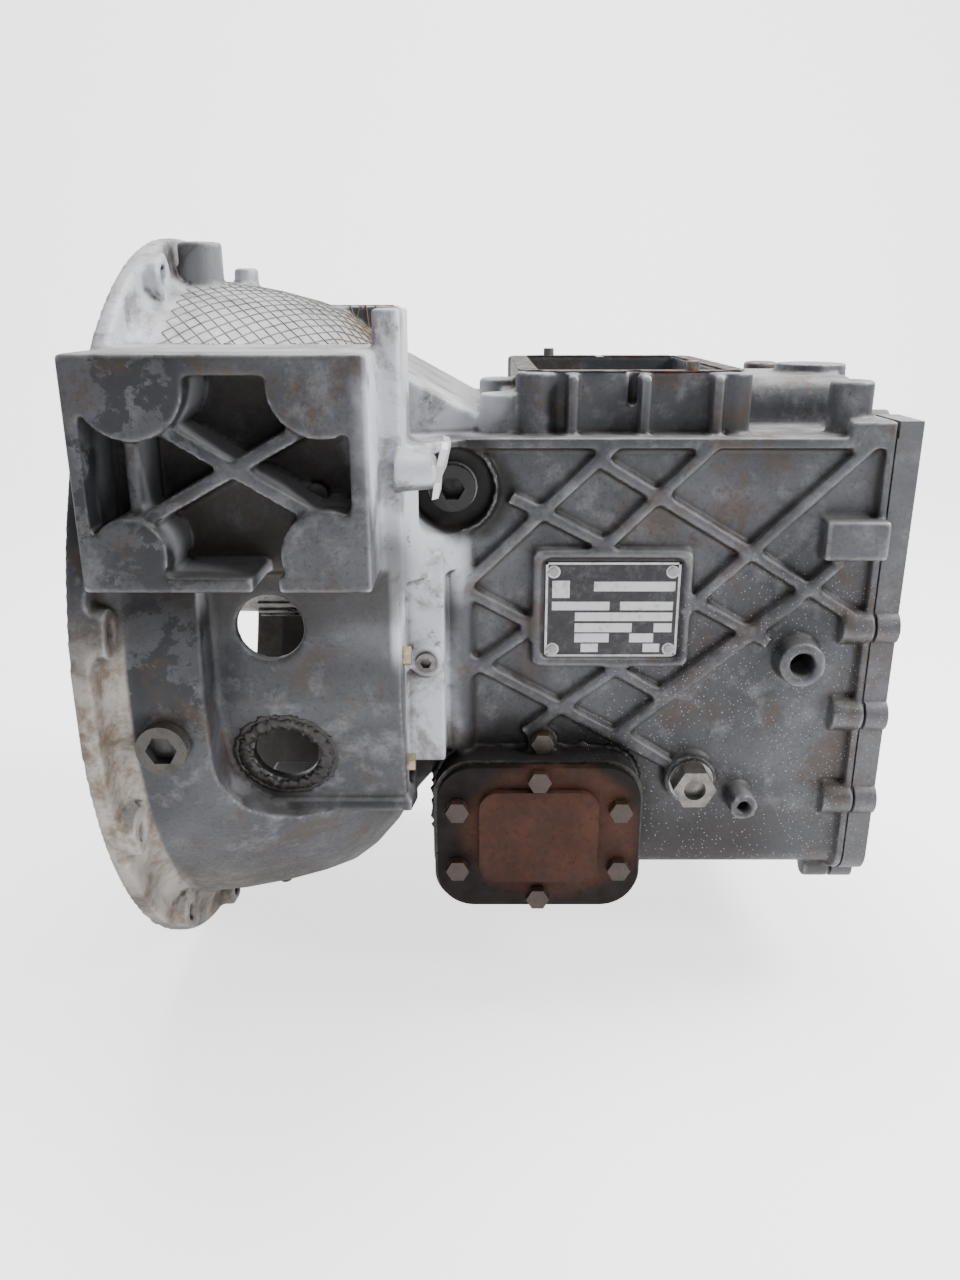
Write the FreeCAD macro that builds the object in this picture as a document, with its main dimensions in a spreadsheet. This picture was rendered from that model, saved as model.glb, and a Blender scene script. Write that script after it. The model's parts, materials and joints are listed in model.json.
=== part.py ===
import FreeCAD, Part
import Sketcher
import math
import os
import re

# Five-speed truck gearbox with a cast clutch bell, as an assembly of separate pieces.
# Origin: centre of the bell flange's mating face, on the input shaft's axis.
# +X runs to the rear, +Z is up, and the side with the power take-off cover faces -Y.

document = FreeCAD.newDocument("manual_transmission")
sheet = document.addObject("Spreadsheet::Sheet", "sizes")

# Driving dimensions in millimetres and degrees.
DRIVING = {
    # clutch bell and its flange
    "flange_radius": "244.5",
    "flange_thick": "10",
    "flange_boss_end": "19",
    "flange_boss_radius": "14",
    "bell_bolt_circle": "466.7",
    "bell_bolt_count": "12",
    "bell_bolt_turn": "20",
    "bell_bolt_hole": "5.5",
    "spigot_radius": "223.8",
    "spigot_depth": "5",
    "bell_wall": "9",
    "wall_front": "178",
    "wall_back": "192",
    # gear case
    "case_back": "455",
    "case_half": "122",
    "case_wall": "10",
    "case_top": "122",
    "case_bottom": "-165",
    "case_corner": "18",
    "roof_under": "113",
    "deck_top": "128",
    "rail_ledge": "128",
    "rib_width": "7",
    "rib_proud": "7",
    # shift opening on the deck
    "rim_front": "233",
    "rim_back": "372",
    "rim_near": "-104",
    "rim_far": "98",
    "rim_top": "164.5",
    "rim_wall": "12",
    "rim_bolt_hole": "4.2",
    "rim_bolt_depth": "20",
    "rim_gasket_thick": "0.6",
    # cast mounting box on the near side of the bell
    "box_front": "11",
    "box_back": "156",
    "box_low": "65",
    "box_high": "181",
    "box_face": "-240",
    "box_floor": "-198",
    # fork housing below it
    "fork_face": "-190",
    "fork_front": "59",
    "fork_back": "165",
    "fork_high": "50",
    "fork_break": "-15",
    "fork_low": "-92",
    "fork_low_face": "-166",
    "fork_hole": "19",
    "fork_round": "46",
    # ground of the rating plate
    "frame_x": "291",
    "frame_z": "23.5",
    "frame_length": "98",
    "frame_height": "75",
    "frame_corner": "5",
    # power take-off pad
    "pto_centre_x": "247",
    "pto_centre_z": "-123.5",
    "pto_length": "132",
    "pto_height": "101",
    "pto_corner": "24",
    "pto_bolt_corner": "12",
    "pto_window_length": "82",
    "pto_window_height": "62",
    "pto_pad_face": "-144",
    "pto_gasket_thick": "1.5",
    "small_bolt": "3.4",
    "small_bolt_hole": "4.5",
    "pto_flange_thick": "6",
    "pto_dome": "5",
    # centres of the round features on the near side
    "level_plug_x": "193",
    "level_plug_z": "98",
    "level_recess": "25",
    "drain_plug_x": "347",
    "drain_plug_z": "-92",
    "side_boss_x": "410",
    "side_boss_z": "-10",
    "sensor_boss_x": "380",
    "sensor_boss_z": "-106",
    "bell_plug_x": "36",
    "bell_plug_z": "-28",
    "tray_plug_x": "124",
    "tray_plug_z": "108",
    "socket_screw_x": "177",
    "socket_screw_z": "-2",
    "side_screw_x": "250",
    "side_screw_z": "-66",
    "fork_window_x": "92",
    "fork_window_z": "31",
    "low_window_x": "94",
    "low_window_z": "-52",
    # shafts and gears
    "module_size": "3",
    "pressure_angle": "20",
    "backlash": "0.3",
    "tooth_sum": "60",
    "counter_turn": "27",
    "shaft_radius": "24",
    "tail_radius": "17.5",
    "counter_radius": "20",
    "counter_seat": "15",
    "needle_wall": "3.5",
    "running_gap": "0.05",
    "shaft_end": "512",
    # selectors
    "rail_radius": "7",
    "rail_height": "98",
    "rail_pitch": "30",
    "rail_start": "181",
    "rail_end": "452",
    "sleeve_radius": "46",
    "sleeve_groove": "42",
    "sleeve_width": "24",
    "groove_width": "8.4",
    "fork_thick": "7.6",
    # rear cover
    "cover_gasket_thick": "0.8",
    "cover_thick": "14",
    "cover_lip": "6",
    "cover_bolt_hole": "4.6",
    "cover_head_radius": "7",
    "cover_head_depth": "9",
    "rear_pad_top": "138",
}

for row, (alias, value) in enumerate(DRIVING.items(), start=1):
    sheet.set(f"A{row}", alias)
    sheet.set(f"B{row}", value)
    sheet.setAlias(f"B{row}", alias)
document.recompute()

ALONG_X = FreeCAD.Rotation(FreeCAD.Vector(0, 1, 0), 90)
TO_NEAR_SIDE = FreeCAD.Rotation(FreeCAD.Vector(1, 0, 0), 90)
UPRIGHT = FreeCAD.Rotation()
X_AXIS = FreeCAD.Vector(1, 0, 0)
Y_AXIS = FreeCAD.Vector(0, 1, 0)
Z_AXIS = FreeCAD.Vector(0, 0, 1)

finished = []


def size(alias):
    """A driving dimension as a number."""
    return float(sheet.get(alias))


def formula(text):
    """The formula with every driving dimension named through the sheet."""
    def in_sheet(word):
        return "sizes." + word.group(0) if word.group(0) in DRIVING else word.group(0)
    return re.sub(r"[a-z_][a-z_0-9]*", in_sheet, str(text))


def node(piece, name):
    """Name a finished sub-part after the file that it is written to."""
    piece.Label = name
    finished.append(piece)
    return piece


def put(piece, x=0, y=0, z=0, turn=UPRIGHT):
    """Turn a piece, and bind its place to the sheet."""
    piece.Placement = FreeCAD.Placement(FreeCAD.Vector(), turn)
    for axis, text in zip("xyz", (x, y, z)):
        piece.setExpression("Placement.Base." + axis, formula(text))
    return piece


def rod(name, x, y, z, radius, length, turn=ALONG_X):
    """A round bar that starts at a point and runs along X, unless it is turned."""
    piece = document.addObject("Part::Cylinder", name)
    piece.setExpression("Radius", formula(radius))
    piece.setExpression("Height", formula(length))
    return put(piece, x, y, z, turn)


def cone(name, x, y, z, radius, end_radius, length, turn=ALONG_X):
    """A tapered round bar."""
    piece = document.addObject("Part::Cone", name)
    piece.setExpression("Radius1", formula(radius))
    piece.setExpression("Radius2", formula(end_radius))
    piece.setExpression("Height", formula(length))
    return put(piece, x, y, z, turn)


def block(name, low, high):
    """A box between two corners."""
    piece = document.addObject("Part::Box", name)
    for side, start, end in zip(("Length", "Width", "Height"), low, high):
        piece.setExpression(side, formula(f"({end}) - ({start})"))
    return put(piece, *low)


def hexagon(name, x, y, z, across_flats, length, turn=ALONG_X):
    """A six-sided bar."""
    piece = document.addObject("Part::Prism", name)
    piece.Polygon = 6
    piece.setExpression("Circumradius", formula(f"({across_flats}) / 2 / cos(30)"))
    piece.setExpression("Height", formula(length))
    return put(piece, x, y, z, turn)


def side_rod(name, place, y, radius, length):
    """A round bar that starts at a named place of the near side and runs outwards from it."""
    return rod(name, place + "_x", y, place + "_z", radius, length, TO_NEAR_SIDE)


def side_hexagon(name, place, y, across_flats, length):
    """A six-sided bar at a named place of the near side."""
    return hexagon(name, place + "_x", y, place + "_z", across_flats, length, TO_NEAR_SIDE)


def fuse(name, pieces):
    """One solid from several that overlap."""
    piece = document.addObject("Part::MultiFuse", name)
    piece.Shapes = pieces
    return piece


def cut(name, base, spaces):
    """A piece with one or more spaces taken out of it."""
    piece = document.addObject("Part::Cut", name)
    piece.Base = base
    piece.Tool = spaces[0] if len(spaces) == 1 else fuse(name + "_space", spaces)
    return piece


def group(name, pieces):
    """Separate solids kept in one node."""
    piece = document.addObject("Part::Compound", name)
    piece.Links = pieces
    return piece


def fillet(name, piece, radius, wanted):
    """Round the edges of a piece that a test picks out."""
    document.recompute()
    rounded = document.addObject("Part::Fillet", name)
    rounded.Base = piece
    edges = [n for n, edge in enumerate(piece.Shape.Edges, start=1) if wanted(edge)]
    rounded.Edges = [(n, size(radius), size(radius)) for n in edges]
    return rounded


def runs_along(direction):
    """A test for straight edges that run along a direction."""
    def wanted(edge):
        if len(edge.Vertexes) != 2:
            return False
        run = edge.Vertexes[1].Point - edge.Vertexes[0].Point
        return run.cross(direction).Length < 0.001 * run.Length
    return wanted


def sketch_in(body, plane, outline, name):
    """A closed sketch on a plane of a body, with each corner bound to the sheet."""
    sketch = body.newObject("Sketcher::SketchObject", name)
    origin_plane = [part for part in body.Origin.OriginFeatures if part.Role == plane][0]
    sketch.AttachmentSupport = [(origin_plane, "")]
    sketch.MapMode = "FlatFace"
    guess = [FreeCAD.Vector(value_of(across), value_of(up), 0) for across, up in outline]
    for number, start in enumerate(guess):
        sketch.addGeometry(Part.LineSegment(start, guess[(number + 1) % len(guess)]))
    for number in range(len(guess)):
        after = (number + 1) % len(guess)
        sketch.addConstraint(Sketcher.Constraint("Coincident", number, 2, after, 1))
    for number, (across, up) in enumerate(outline):
        for kind, text in (("DistanceX", across), ("DistanceY", up)):
            index = sketch.addConstraint(Sketcher.Constraint(kind, number, 1, value_of(text)))
            sketch.setExpression(f"Constraints[{index}]", formula(text))
    return sketch


def value_of(text):
    """The number that a formula of driving dimensions gives."""
    return float(sheet.evalExpression(formula(text)))


def turned(name, outline, y=0, z=0):
    """A body turned about a line along X from an outline of (x, radius) corners."""
    body = document.addObject("PartDesign::Body", name)
    sketch = sketch_in(body, "XZ_Plane", outline, name + "_outline")
    spin = body.newObject("PartDesign::Revolution", name + "_turned")
    spin.Profile = sketch
    spin.ReferenceAxis = (sketch, ["H_Axis"])
    spin.Angle = 360
    return put(body, 0, y, z)


def stepped(name, steps, y=0, z=0):
    """A solid turned shaft from (start x, radius) steps, the last step giving only the end."""
    outline = [(steps[0][0], 0)]
    for (start, radius), (end, _) in zip(steps, steps[1:]):
        outline += [(start, radius), (end, radius)]
    outline.append((steps[-1][0], 0))
    return turned(name, outline, y, z)


def ring(name, start, end, bore, radius, y=0, z=0):
    """A plain ring about a line along X."""
    return turned(name, [(start, bore), (start, radius), (end, radius), (end, bore)], y, z)


def prism(name, corners, start, end, y=0.0, z=0.0):
    """A straight bar along X with a many-sided section of (y, z) corners."""
    points = [FreeCAD.Vector(0, across, up) for across, up in corners]
    section = Part.Face(Part.makePolygon(points + points[:1]))
    piece = document.addObject("Part::Feature", name)
    piece.Shape = section.extrude(X_AXIS * (end - start))
    piece.Placement = FreeCAD.Placement(FreeCAD.Vector(start, y, z), UPRIGHT)
    return piece


def polar(radius, degrees):
    """The (y, z) corner at a radius and an angle from +Y towards +Z."""
    return radius * math.cos(math.radians(degrees)), radius * math.sin(math.radians(degrees))


# ---------------------------------------------------------------- shaft places and gear teeth

MODULE = size("module_size")
CENTRE_DISTANCE = MODULE * size("tooth_sum") / 2
COUNTER_Y = -CENTRE_DISTANCE * math.sin(math.radians(size("counter_turn")))
COUNTER_Z = -CENTRE_DISTANCE * math.cos(math.radians(size("counter_turn")))
TO_COUNTER = math.degrees(math.atan2(COUNTER_Z, COUNTER_Y))
TO_MAIN = TO_COUNTER + 180

REVERSE_COUNTER_TEETH = 16
IDLER_TEETH = 20
REVERSE_TEETH = 38


def idler_place():
    """The (y, z) centre of the reverse idler, in mesh with both of its partners."""
    to_main = MODULE * (REVERSE_TEETH + IDLER_TEETH) / 2
    to_counter = MODULE * (REVERSE_COUNTER_TEETH + IDLER_TEETH) / 2
    along = (to_main ** 2 - to_counter ** 2 + CENTRE_DISTANCE ** 2) / (2 * CENTRE_DISTANCE)
    aside = math.sqrt(to_main ** 2 - along ** 2)
    line_y, line_z = polar(1, TO_COUNTER)
    return along * line_y - aside * line_z, along * line_z + aside * line_y


IDLER_Y, IDLER_Z = idler_place()
RAIL_PLACES = {"34": 0, "12": -size("rail_pitch"), "5r": size("rail_pitch")}


def half_tooth(teeth, radius):
    """Half the angle, in radians, that a tooth spans at a radius outside its base circle."""
    pressure = math.radians(size("pressure_angle"))
    pitch_radius = MODULE * teeth / 2
    at_radius = math.acos(min(1, pitch_radius * math.cos(pressure) / radius))
    opening = math.tan(pressure) - pressure - math.tan(at_radius) + at_radius
    return math.pi / (2 * teeth) - size("backlash") / (4 * pitch_radius) + opening


def gear_corners(teeth, turn):
    """The (y, z) corners of a spur gear with one tooth centred on an angle in degrees."""
    pitch_radius = MODULE * teeth / 2
    base_radius = pitch_radius * math.cos(math.radians(size("pressure_angle")))
    root_radius = pitch_radius - 1.25 * MODULE
    tip_radius = pitch_radius + 0.95 * MODULE
    start_radius = max(base_radius, root_radius + 0.1)
    flank = [start_radius, (start_radius + pitch_radius) / 2, pitch_radius,
             (pitch_radius + tip_radius) / 2, tip_radius]
    half_angles = [(root_radius, half_tooth(teeth, start_radius))]
    half_angles += [(radius, half_tooth(teeth, radius)) for radius in flank]
    corners = []
    for tooth in range(teeth):
        middle = turn + 360 * tooth / teeth
        corners += [polar(radius, middle - math.degrees(half)) for radius, half in half_angles]
        corners += [polar(radius, middle + math.degrees(half)) for radius, half in reversed(half_angles)]
    return corners


def meshing_turn(driver_turn, driver_teeth, direction, driven_teeth):
    """The angle of one tooth of a gear that meshes with another in a direction from it."""
    pitch = 360 / driver_teeth
    offset = (driver_turn - direction + pitch / 2) % pitch - pitch / 2
    return direction + 180 - offset * driver_teeth / driven_teeth + 180 / driven_teeth


SPLINE_TEETH = 24


def spline_corners(root_radius, tip_radius, half_angle, teeth=SPLINE_TEETH):
    """The (y, z) corners of straight-sided spline teeth."""
    corners = []
    for tooth in range(teeth):
        middle = 360 * tooth / teeth
        for radius, side in ((root_radius, -1), (tip_radius, -1), (tip_radius, 1), (root_radius, 1)):
            corners.append(polar(radius, middle + side * half_angle))
    return corners


# ---------------------------------------------------------------- housing

def flange_angles():
    """Angles of the bell bolts, from +Y towards +Z."""
    step = 360 / size("bell_bolt_count")
    return [size("bell_bolt_turn") + step * number for number in range(int(size("bell_bolt_count")))]


def bell_solids():
    """Flange, locating spigot, bolt bosses and the bell's outer form."""
    outside = turned("bell_outside", [
        ("-spigot_depth", 0), ("-spigot_depth", "spigot_radius"), (0, "spigot_radius"),
        (0, "flange_radius"), ("flange_thick", "flange_radius"), ("flange_thick", 231),
        (14, 223), (22, 218.5), (45, 216.5), (75, 211), (100, 204.5), (120, 197),
        (135, 186), (150, 169), (164, 146), ("wall_front + 6", 124), ("wall_front + 6", 0),
    ])
    bosses = []
    for angle in flange_angles():
        across, up = polar(size("bell_bolt_circle") / 2, angle)
        bosses.append(rod("bolt_boss", 5, across, up, "flange_boss_radius", "flange_boss_end - 5"))
    bosses.append(rod("top_boss", 28, -28, 190, 14, 51, UPRIGHT))
    bosses.append(rod("top_lug", 51, 0, 190, 8, 36, UPRIGHT))
    bosses.append(rod("bottom_lug", 62, -60, -212, 5, 22, UPRIGHT))
    kept = document.addObject("Part::Common", "flange_bosses")
    kept.Base = fuse("boss_set", bosses)
    kept.Tool = rod("boss_limit", -10, 0, 0, "flange_radius", 120)
    return [outside, kept]


def bell_cavity():
    """The clutch's space inside the bell."""
    return turned("bell_cavity", [
        ("-spigot_depth - 1", 0), ("-spigot_depth - 1", 212), (22, "218.5 - bell_wall"),
        (45, "216.5 - bell_wall"), (75, "211 - bell_wall"), (100, "204.5 - bell_wall"),
        (120, "196 - bell_wall"), (134, "182 - bell_wall"), (146, "165 - bell_wall"),
        (158, 137), ("wall_front", 112), ("wall_front", 0),
    ])


def case_solids():
    """The gear case, its deck, the raised rim of the shift opening and the hump behind it."""
    body = fillet("case_body", block("case_block",
                                     ("wall_front", "-case_half", "case_bottom"),
                                     ("case_back", "case_half", "case_top")),
                  "case_corner", low_corner)
    deck = block("deck", (186, "-rail_ledge", "case_top"), ("case_back", "rail_ledge", "deck_top"))
    rim = fillet("rim", block("rim_block",
                              ("rim_front", "rim_near", "roof_under"),
                              ("rim_back", "rim_far", "rim_top")),
                 "case_corner", runs_along(Z_AXIS))
    hump = fillet("hump", block("hump_block", ("rim_back - 20", -52, "roof_under"),
                                ("case_back", 60, 158)),
                  "case_corner",
                  lambda edge: runs_along(X_AXIS)(edge) and edge.BoundBox.ZMin > 150)
    hump_pad = rod("hump_pad", 441, 4, 150, 24, 14, UPRIGHT)
    pieces = [body, deck, rim, hump, hump_pad]
    for x in (262, 305, 348):
        for start, end in (("rim_near - 14", "rim_near + 4"), ("rim_far - 4", "rim_far + 14")):
            pieces.append(block("rim_rib", (x, start, "case_top"), (f"{x} + 6", end, "rim_top - 1")))
    for x in ("rim_front + 10", "rim_back - 10"):
        pieces.append(rod("rim_boss", x, "rim_near + 4", "case_top", 12, "rim_top - case_top", UPRIGHT))
        pieces.append(rod("rim_boss", x, "rim_far - 4", "case_top", 12, "rim_top - case_top", UPRIGHT))
    pieces.append(rod("front_boss", 222, -100, "case_top", 13, 30, UPRIGHT))
    pieces.append(rod("front_boss", 222, -54, "case_top", 13, 36, UPRIGHT))
    pieces.append(block("front_web", (222, -104, "case_top"), (240, -50, 152)))
    pieces.append(rod("rear_boss", 433, -105, "case_top", 13, 38, UPRIGHT))
    pieces.append(rod("rear_boss", 433, 105, "case_top", 13, 38, UPRIGHT))
    for low in (-6, 96):
        pieces.append(block("shoulder_web", (150, low, 100), (236, f"{low} + 8", 139)))
    pieces.append(bell_shoulder())
    pieces.append(block("shoulder_base", (152, -118, 90), (190, 118, "deck_top")))
    pieces.append(block("rear_pad", (428, "-rail_ledge", "case_top"),
                        ("case_back", -88, "rear_pad_top")))
    rear_flange = block("rear_flange_block", ("case_back - 5", "-case_half - cover_lip", "case_bottom - 2"),
                        ("case_back", "case_half + cover_lip", "deck_top"))
    pieces.append(fillet("rear_flange", rear_flange, "case_corner", low_corner))
    return pieces


def low_corner(edge):
    """A test for edges along X below the shafts."""
    return runs_along(X_AXIS)(edge) and edge.BoundBox.ZMax < 0


def bell_shoulder():
    """The sloping shoulder from the back of the bell down to the deck."""
    front, back = FreeCAD.Vector(150, 0, 169), FreeCAD.Vector(226, 0, size("deck_top"))
    run = back - front
    slope = math.atan2(-run.z, run.x)
    thick = 30
    slab = document.addObject("Part::Box", "bell_shoulder")
    slab.Length = run.Length
    slab.Width = 200
    slab.Height = thick
    corner = front - FreeCAD.Vector(math.sin(slope), 0, math.cos(slope)) * thick
    corner.y = -slab.Width.Value / 2
    slab.Placement = FreeCAD.Placement(corner, FreeCAD.Rotation(Y_AXIS, math.degrees(slope)))
    return slab


def outer_bolt_places():
    """The (y, z) places of the rear cover's bolts whose bosses stand outside the case."""
    side = [(sign * 123, height) for sign in (-1, 1) for height in (11, -48, -108)]
    ends = [(across, height) for across in (-68, 68) for height in (128, -165)]
    return side + ends


def inner_bolt_places():
    """Two more of the rear cover's bolts, whose bosses stand inside the case."""
    return [(sign * 112, 88) for sign in (-1, 1)]


def rear_bolt_places():
    """The (y, z) places of all the rear cover's bolts."""
    return outer_bolt_places() + inner_bolt_places()


def rear_bosses(start, end):
    """Bosses along X for the rear cover's bolts."""
    return [rod("rear_bolt_boss", start, across, up, 11, f"({end}) - ({start})")
            for across, up in outer_bolt_places()]


# Raised ribs on the near side, each from one (x, z) end to the other.
SIDE_RIBS = [
    ((287, 122), (199, 37)), ((346, 122), (285, 62)), ((440, 123), (337, 22)),
    ((230, 92), (285, 64)), ((280, 115), (376, 58)), ((376, 58), (448, 14)),
    ((200, 35), (236, 16)), ((244, 12), (193, -26)), ((430, 53), (413, 36)),
    ((345, 26), (389, 2)), ((413, 36), (327, -32)), ((192, -5), (330, -81)),
    ((295, -17), (240, -59)), ((295, -17), (328, -36)), ((407, 29), (299, -61)),
    ((299, -61), (330, -81)),
]


# How far a rib runs past the places that it joins.
RIB_OVERRUN = 2.3


def side_rib(start, end):
    """One raised rib centred on the line between two places on the near side."""
    run = FreeCAD.Vector(end[0] - start[0], 0, end[1] - start[1])
    along = FreeCAD.Vector(run).normalize()
    aside = FreeCAD.Vector(along.z, 0, -along.x)
    corner = FreeCAD.Vector(start[0], 0, start[1]) - along * RIB_OVERRUN + aside * (size("rib_width") / 2)
    piece = document.addObject("Part::Box", "side_rib")
    piece.Length = run.Length + 2 * RIB_OVERRUN
    piece.setExpression("Width", formula("rib_proud + 4"))
    piece.setExpression("Height", formula("rib_width"))
    lean = FreeCAD.Rotation(Y_AXIS, -math.degrees(math.atan2(run.z, run.x)))
    piece.Placement = FreeCAD.Placement(corner, lean)
    piece.setExpression("Placement.Base.y", formula("-case_half - rib_proud"))
    return piece


def rounded_pad(name, centre_x, centre_z, length, height, start, end, radius):
    """A plate with rounded corners, lying in the near side's plane from y = start to y = end."""
    plate = block(name + "_block",
                  (f"{centre_x} - ({length}) / 2", start, f"{centre_z} - ({height}) / 2"),
                  (f"{centre_x} + ({length}) / 2", end, f"{centre_z} + ({height}) / 2"))
    return fillet(name, plate, radius, runs_along(Y_AXIS))


def side_solids():
    """Ribs, bosses, pads and lugs on the near side of the case."""
    pieces = [side_rib(start, end) for start, end in SIDE_RIBS]
    pieces.append(rounded_pad("pto_pad", "pto_centre_x", "pto_centre_z", "pto_length",
                              "pto_height", "pto_pad_face", "-case_half + 4", "pto_corner"))
    frame = rounded_pad("plate_frame", "frame_x", "frame_z", "frame_length", "frame_height",
                        "-case_half - 9", "-case_half + 4", "frame_corner")
    well = rounded_pad("plate_well", "frame_x", "frame_z", "frame_length - 10", "frame_height - 10",
                       "-case_half - 10", "-case_half - 4", "frame_corner")
    pieces.append(cut("plate_rim", frame, [well]))
    pieces.append(side_rod("side_boss", "side_boss", -118, 14.5, 22))
    pieces.append(side_rod("drain_boss", "drain_plug", -118, 17, 14))
    pieces.append(side_rod("sensor_boss", "sensor_boss", -118, 9, 26))
    pieces.append(side_rod("screw_plug_boss", "side_screw", -118, 10, 10))
    pieces.append(block("wedge_lug", (417, -138, 56), ("case_back", -118, 80)))
    pieces.append(rod("column_rib", 196, "-case_half", -72, 9, 140, UPRIGHT))
    pieces.append(block("column", (160, -150, -70), (188, -110, 62)))
    pieces.append(bell_neck())
    pieces.append(side_rod("screw_lug", "socket_screw", -140, 10, 14))
    pieces.append(rod("foot", 436, -100, "case_bottom - 7", 9, "case_back - 436"))
    pieces.append(side_rod("level_plug_ground", "level_plug", -112, "level_recess + 3", 14))
    return pieces


def bell_neck():
    """The slanting face that joins the mounting box's flank to the near side of the case."""
    start, end = FreeCAD.Vector(156, -178, 50), FreeCAD.Vector(205, -size("case_half"), 50)
    run = end - start
    slab = document.addObject("Part::Box", "bell_neck")
    slab.Length = run.Length
    slab.Width = 40
    slab.setExpression("Height", formula("deck_top - 50"))
    turn = math.degrees(math.atan2(run.y, run.x))
    slab.Placement = FreeCAD.Placement(start, FreeCAD.Rotation(Z_AXIS, turn))
    return slab


def mount_box_solids():
    """The cast mounting box, the web behind it and the broken lug on its flank."""
    pieces = [block("mount_box", ("box_front", "box_face", "box_low"), ("box_back", -120, "box_high"))]
    pieces.append(block("flank_web", ("box_back - 1.5", -190, "fork_high"), (168, -120, 201)))
    pieces.append(block("flank_root", ("box_back - 10", -180, "box_low"), (164, -120, 180)))
    pieces.append(block("far_web", (108, 2, 150), (154, 14, 202)))
    pieces.append(cone("broken_lug", 165, -194, 119, 11, 9, 22))
    return pieces


def mount_box_pocket():
    """The pocket in the box's face, less its corner pads and ribs."""
    space = block("box_pocket", (18, "box_face - 1", 73), (147, "box_floor", 171))
    return cut("box_pocket_open", space, mount_box_pads())


def mount_box_pads():
    """Corner pads and crossing ribs that stay inside the box's pocket."""
    depth = "box_floor - box_face + 4"
    pads = [rod("corner_pad", x, "box_floor + 2", z, radius, depth, TO_NEAR_SIDE)
            for x, z, radius in ((43, 167, 27), (134, 167, 26), (36, 84, 19), (134, 84, 23))]
    for x, z, lean in ((26, 87, 29), (26, 160, -31)):
        rib = document.addObject("Part::Box", "cross_rib")
        rib.Length = 136
        rib.setExpression("Width", formula("box_floor - box_face + 2 - 4"))
        rib.setExpression("Height", formula("rib_width"))
        rib.Placement = FreeCAD.Placement(FreeCAD.Vector(x, 0, z), FreeCAD.Rotation(Y_AXIS, -lean))
        rib.setExpression("Placement.Base.y", formula("box_face + 4"))
        pads.append(rib)
    pads.append(block("upright_rib", (36, "box_face + 8", 70), (43, "box_floor + 2", 172)))
    return pads


def fork_housing_solids(shell):
    """The flat-faced bulge over the clutch fork, its lip, and the walls that close the bell around it."""
    face, low_face, low_z = size("fork_face"), size("fork_low_face"), size("fork_low")
    bulge = prism("fork_bulge", [(-150, 67), (face, 66), (face, size("fork_break")), (low_face, low_z),
                                 (-150, low_z)], size("fork_front") - 8, size("fork_back"))
    walls = document.addObject("Part::Common", "fork_walls")
    walls.Base = fuse("fork_wall_set", [
        block("fork_shelf_block", ("fork_front - 14", -205, "fork_low - 10"),
              ("fork_back", -146, "fork_low + 0.5")),
        block("fork_front_wall", ("fork_front - 8", -230, "fork_low - 10"), ("fork_front", -146, 66)),
        fork_corner(-146),
    ])
    walls.Tool = shell
    lip = prism("fork_lip", [(-120, -84), (-172, -86), (-174, -92), (-120, -112)], 74, 168)
    return [bulge, lip, walls]


def fork_corner(depth):
    """The rounded front lower corner of the fork housing's recess, solid down to a depth."""
    corner_block = block("fork_corner_block", ("fork_front - 1", -240, "fork_low - 1"),
                         ("fork_front + fork_round", depth, "fork_low + fork_round"))
    rounding = rod("fork_corner_round", "fork_front + fork_round", -90, "fork_low + fork_round",
                   "fork_round", 160, TO_NEAR_SIDE)
    return cut("fork_corner", corner_block, [rounding])


def fork_recess():
    """The space cut back from the bell down to the fork housing's face."""
    face, low_face = size("fork_face"), size("fork_low_face")
    break_z, low_z = size("fork_break"), size("fork_low")
    space = prism("fork_space", [(face - 40, 64), (face, 64), (face, break_z), (low_face, low_z),
                                 (low_face - 64, low_z)], size("fork_front"), 175)
    return cut("fork_recess", space, [fork_corner(-100)])


def bearing_bosses():
    """Material inside the case that carries the bearings, rails and idler shaft."""
    bosses = [rod("rear_bolt_boss", 432, across, up, 9.5, "case_back - 432")
              for across, up in inner_bolt_places()]
    return bosses + [
        rod("input_boss", "wall_front - 6", 0, 0, 70, 22),
        rod("counter_boss", "wall_front - 4", COUNTER_Y, COUNTER_Z, 45, 20),
        block("rail_boss", ("wall_front - 10", -44, 70), ("wall_back", 44, "roof_under + 2")),
        rod("idler_boss", 346, IDLER_Y, IDLER_Z, 16, 13),
        rod("idler_boss", 385, IDLER_Y, IDLER_Z, 16, 13),
        block("idler_post", (346, f"{IDLER_Y} - 8", "case_bottom + 2"), (359, f"{IDLER_Y} + 8", IDLER_Z)),
        block("idler_post", (385, f"{IDLER_Y} - 8", "case_bottom + 2"), (398, f"{IDLER_Y} + 8", IDLER_Z)),
        side_rod("level_plug_inside", "level_plug", "-case_half + 15", 20, 12),
    ]


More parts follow.
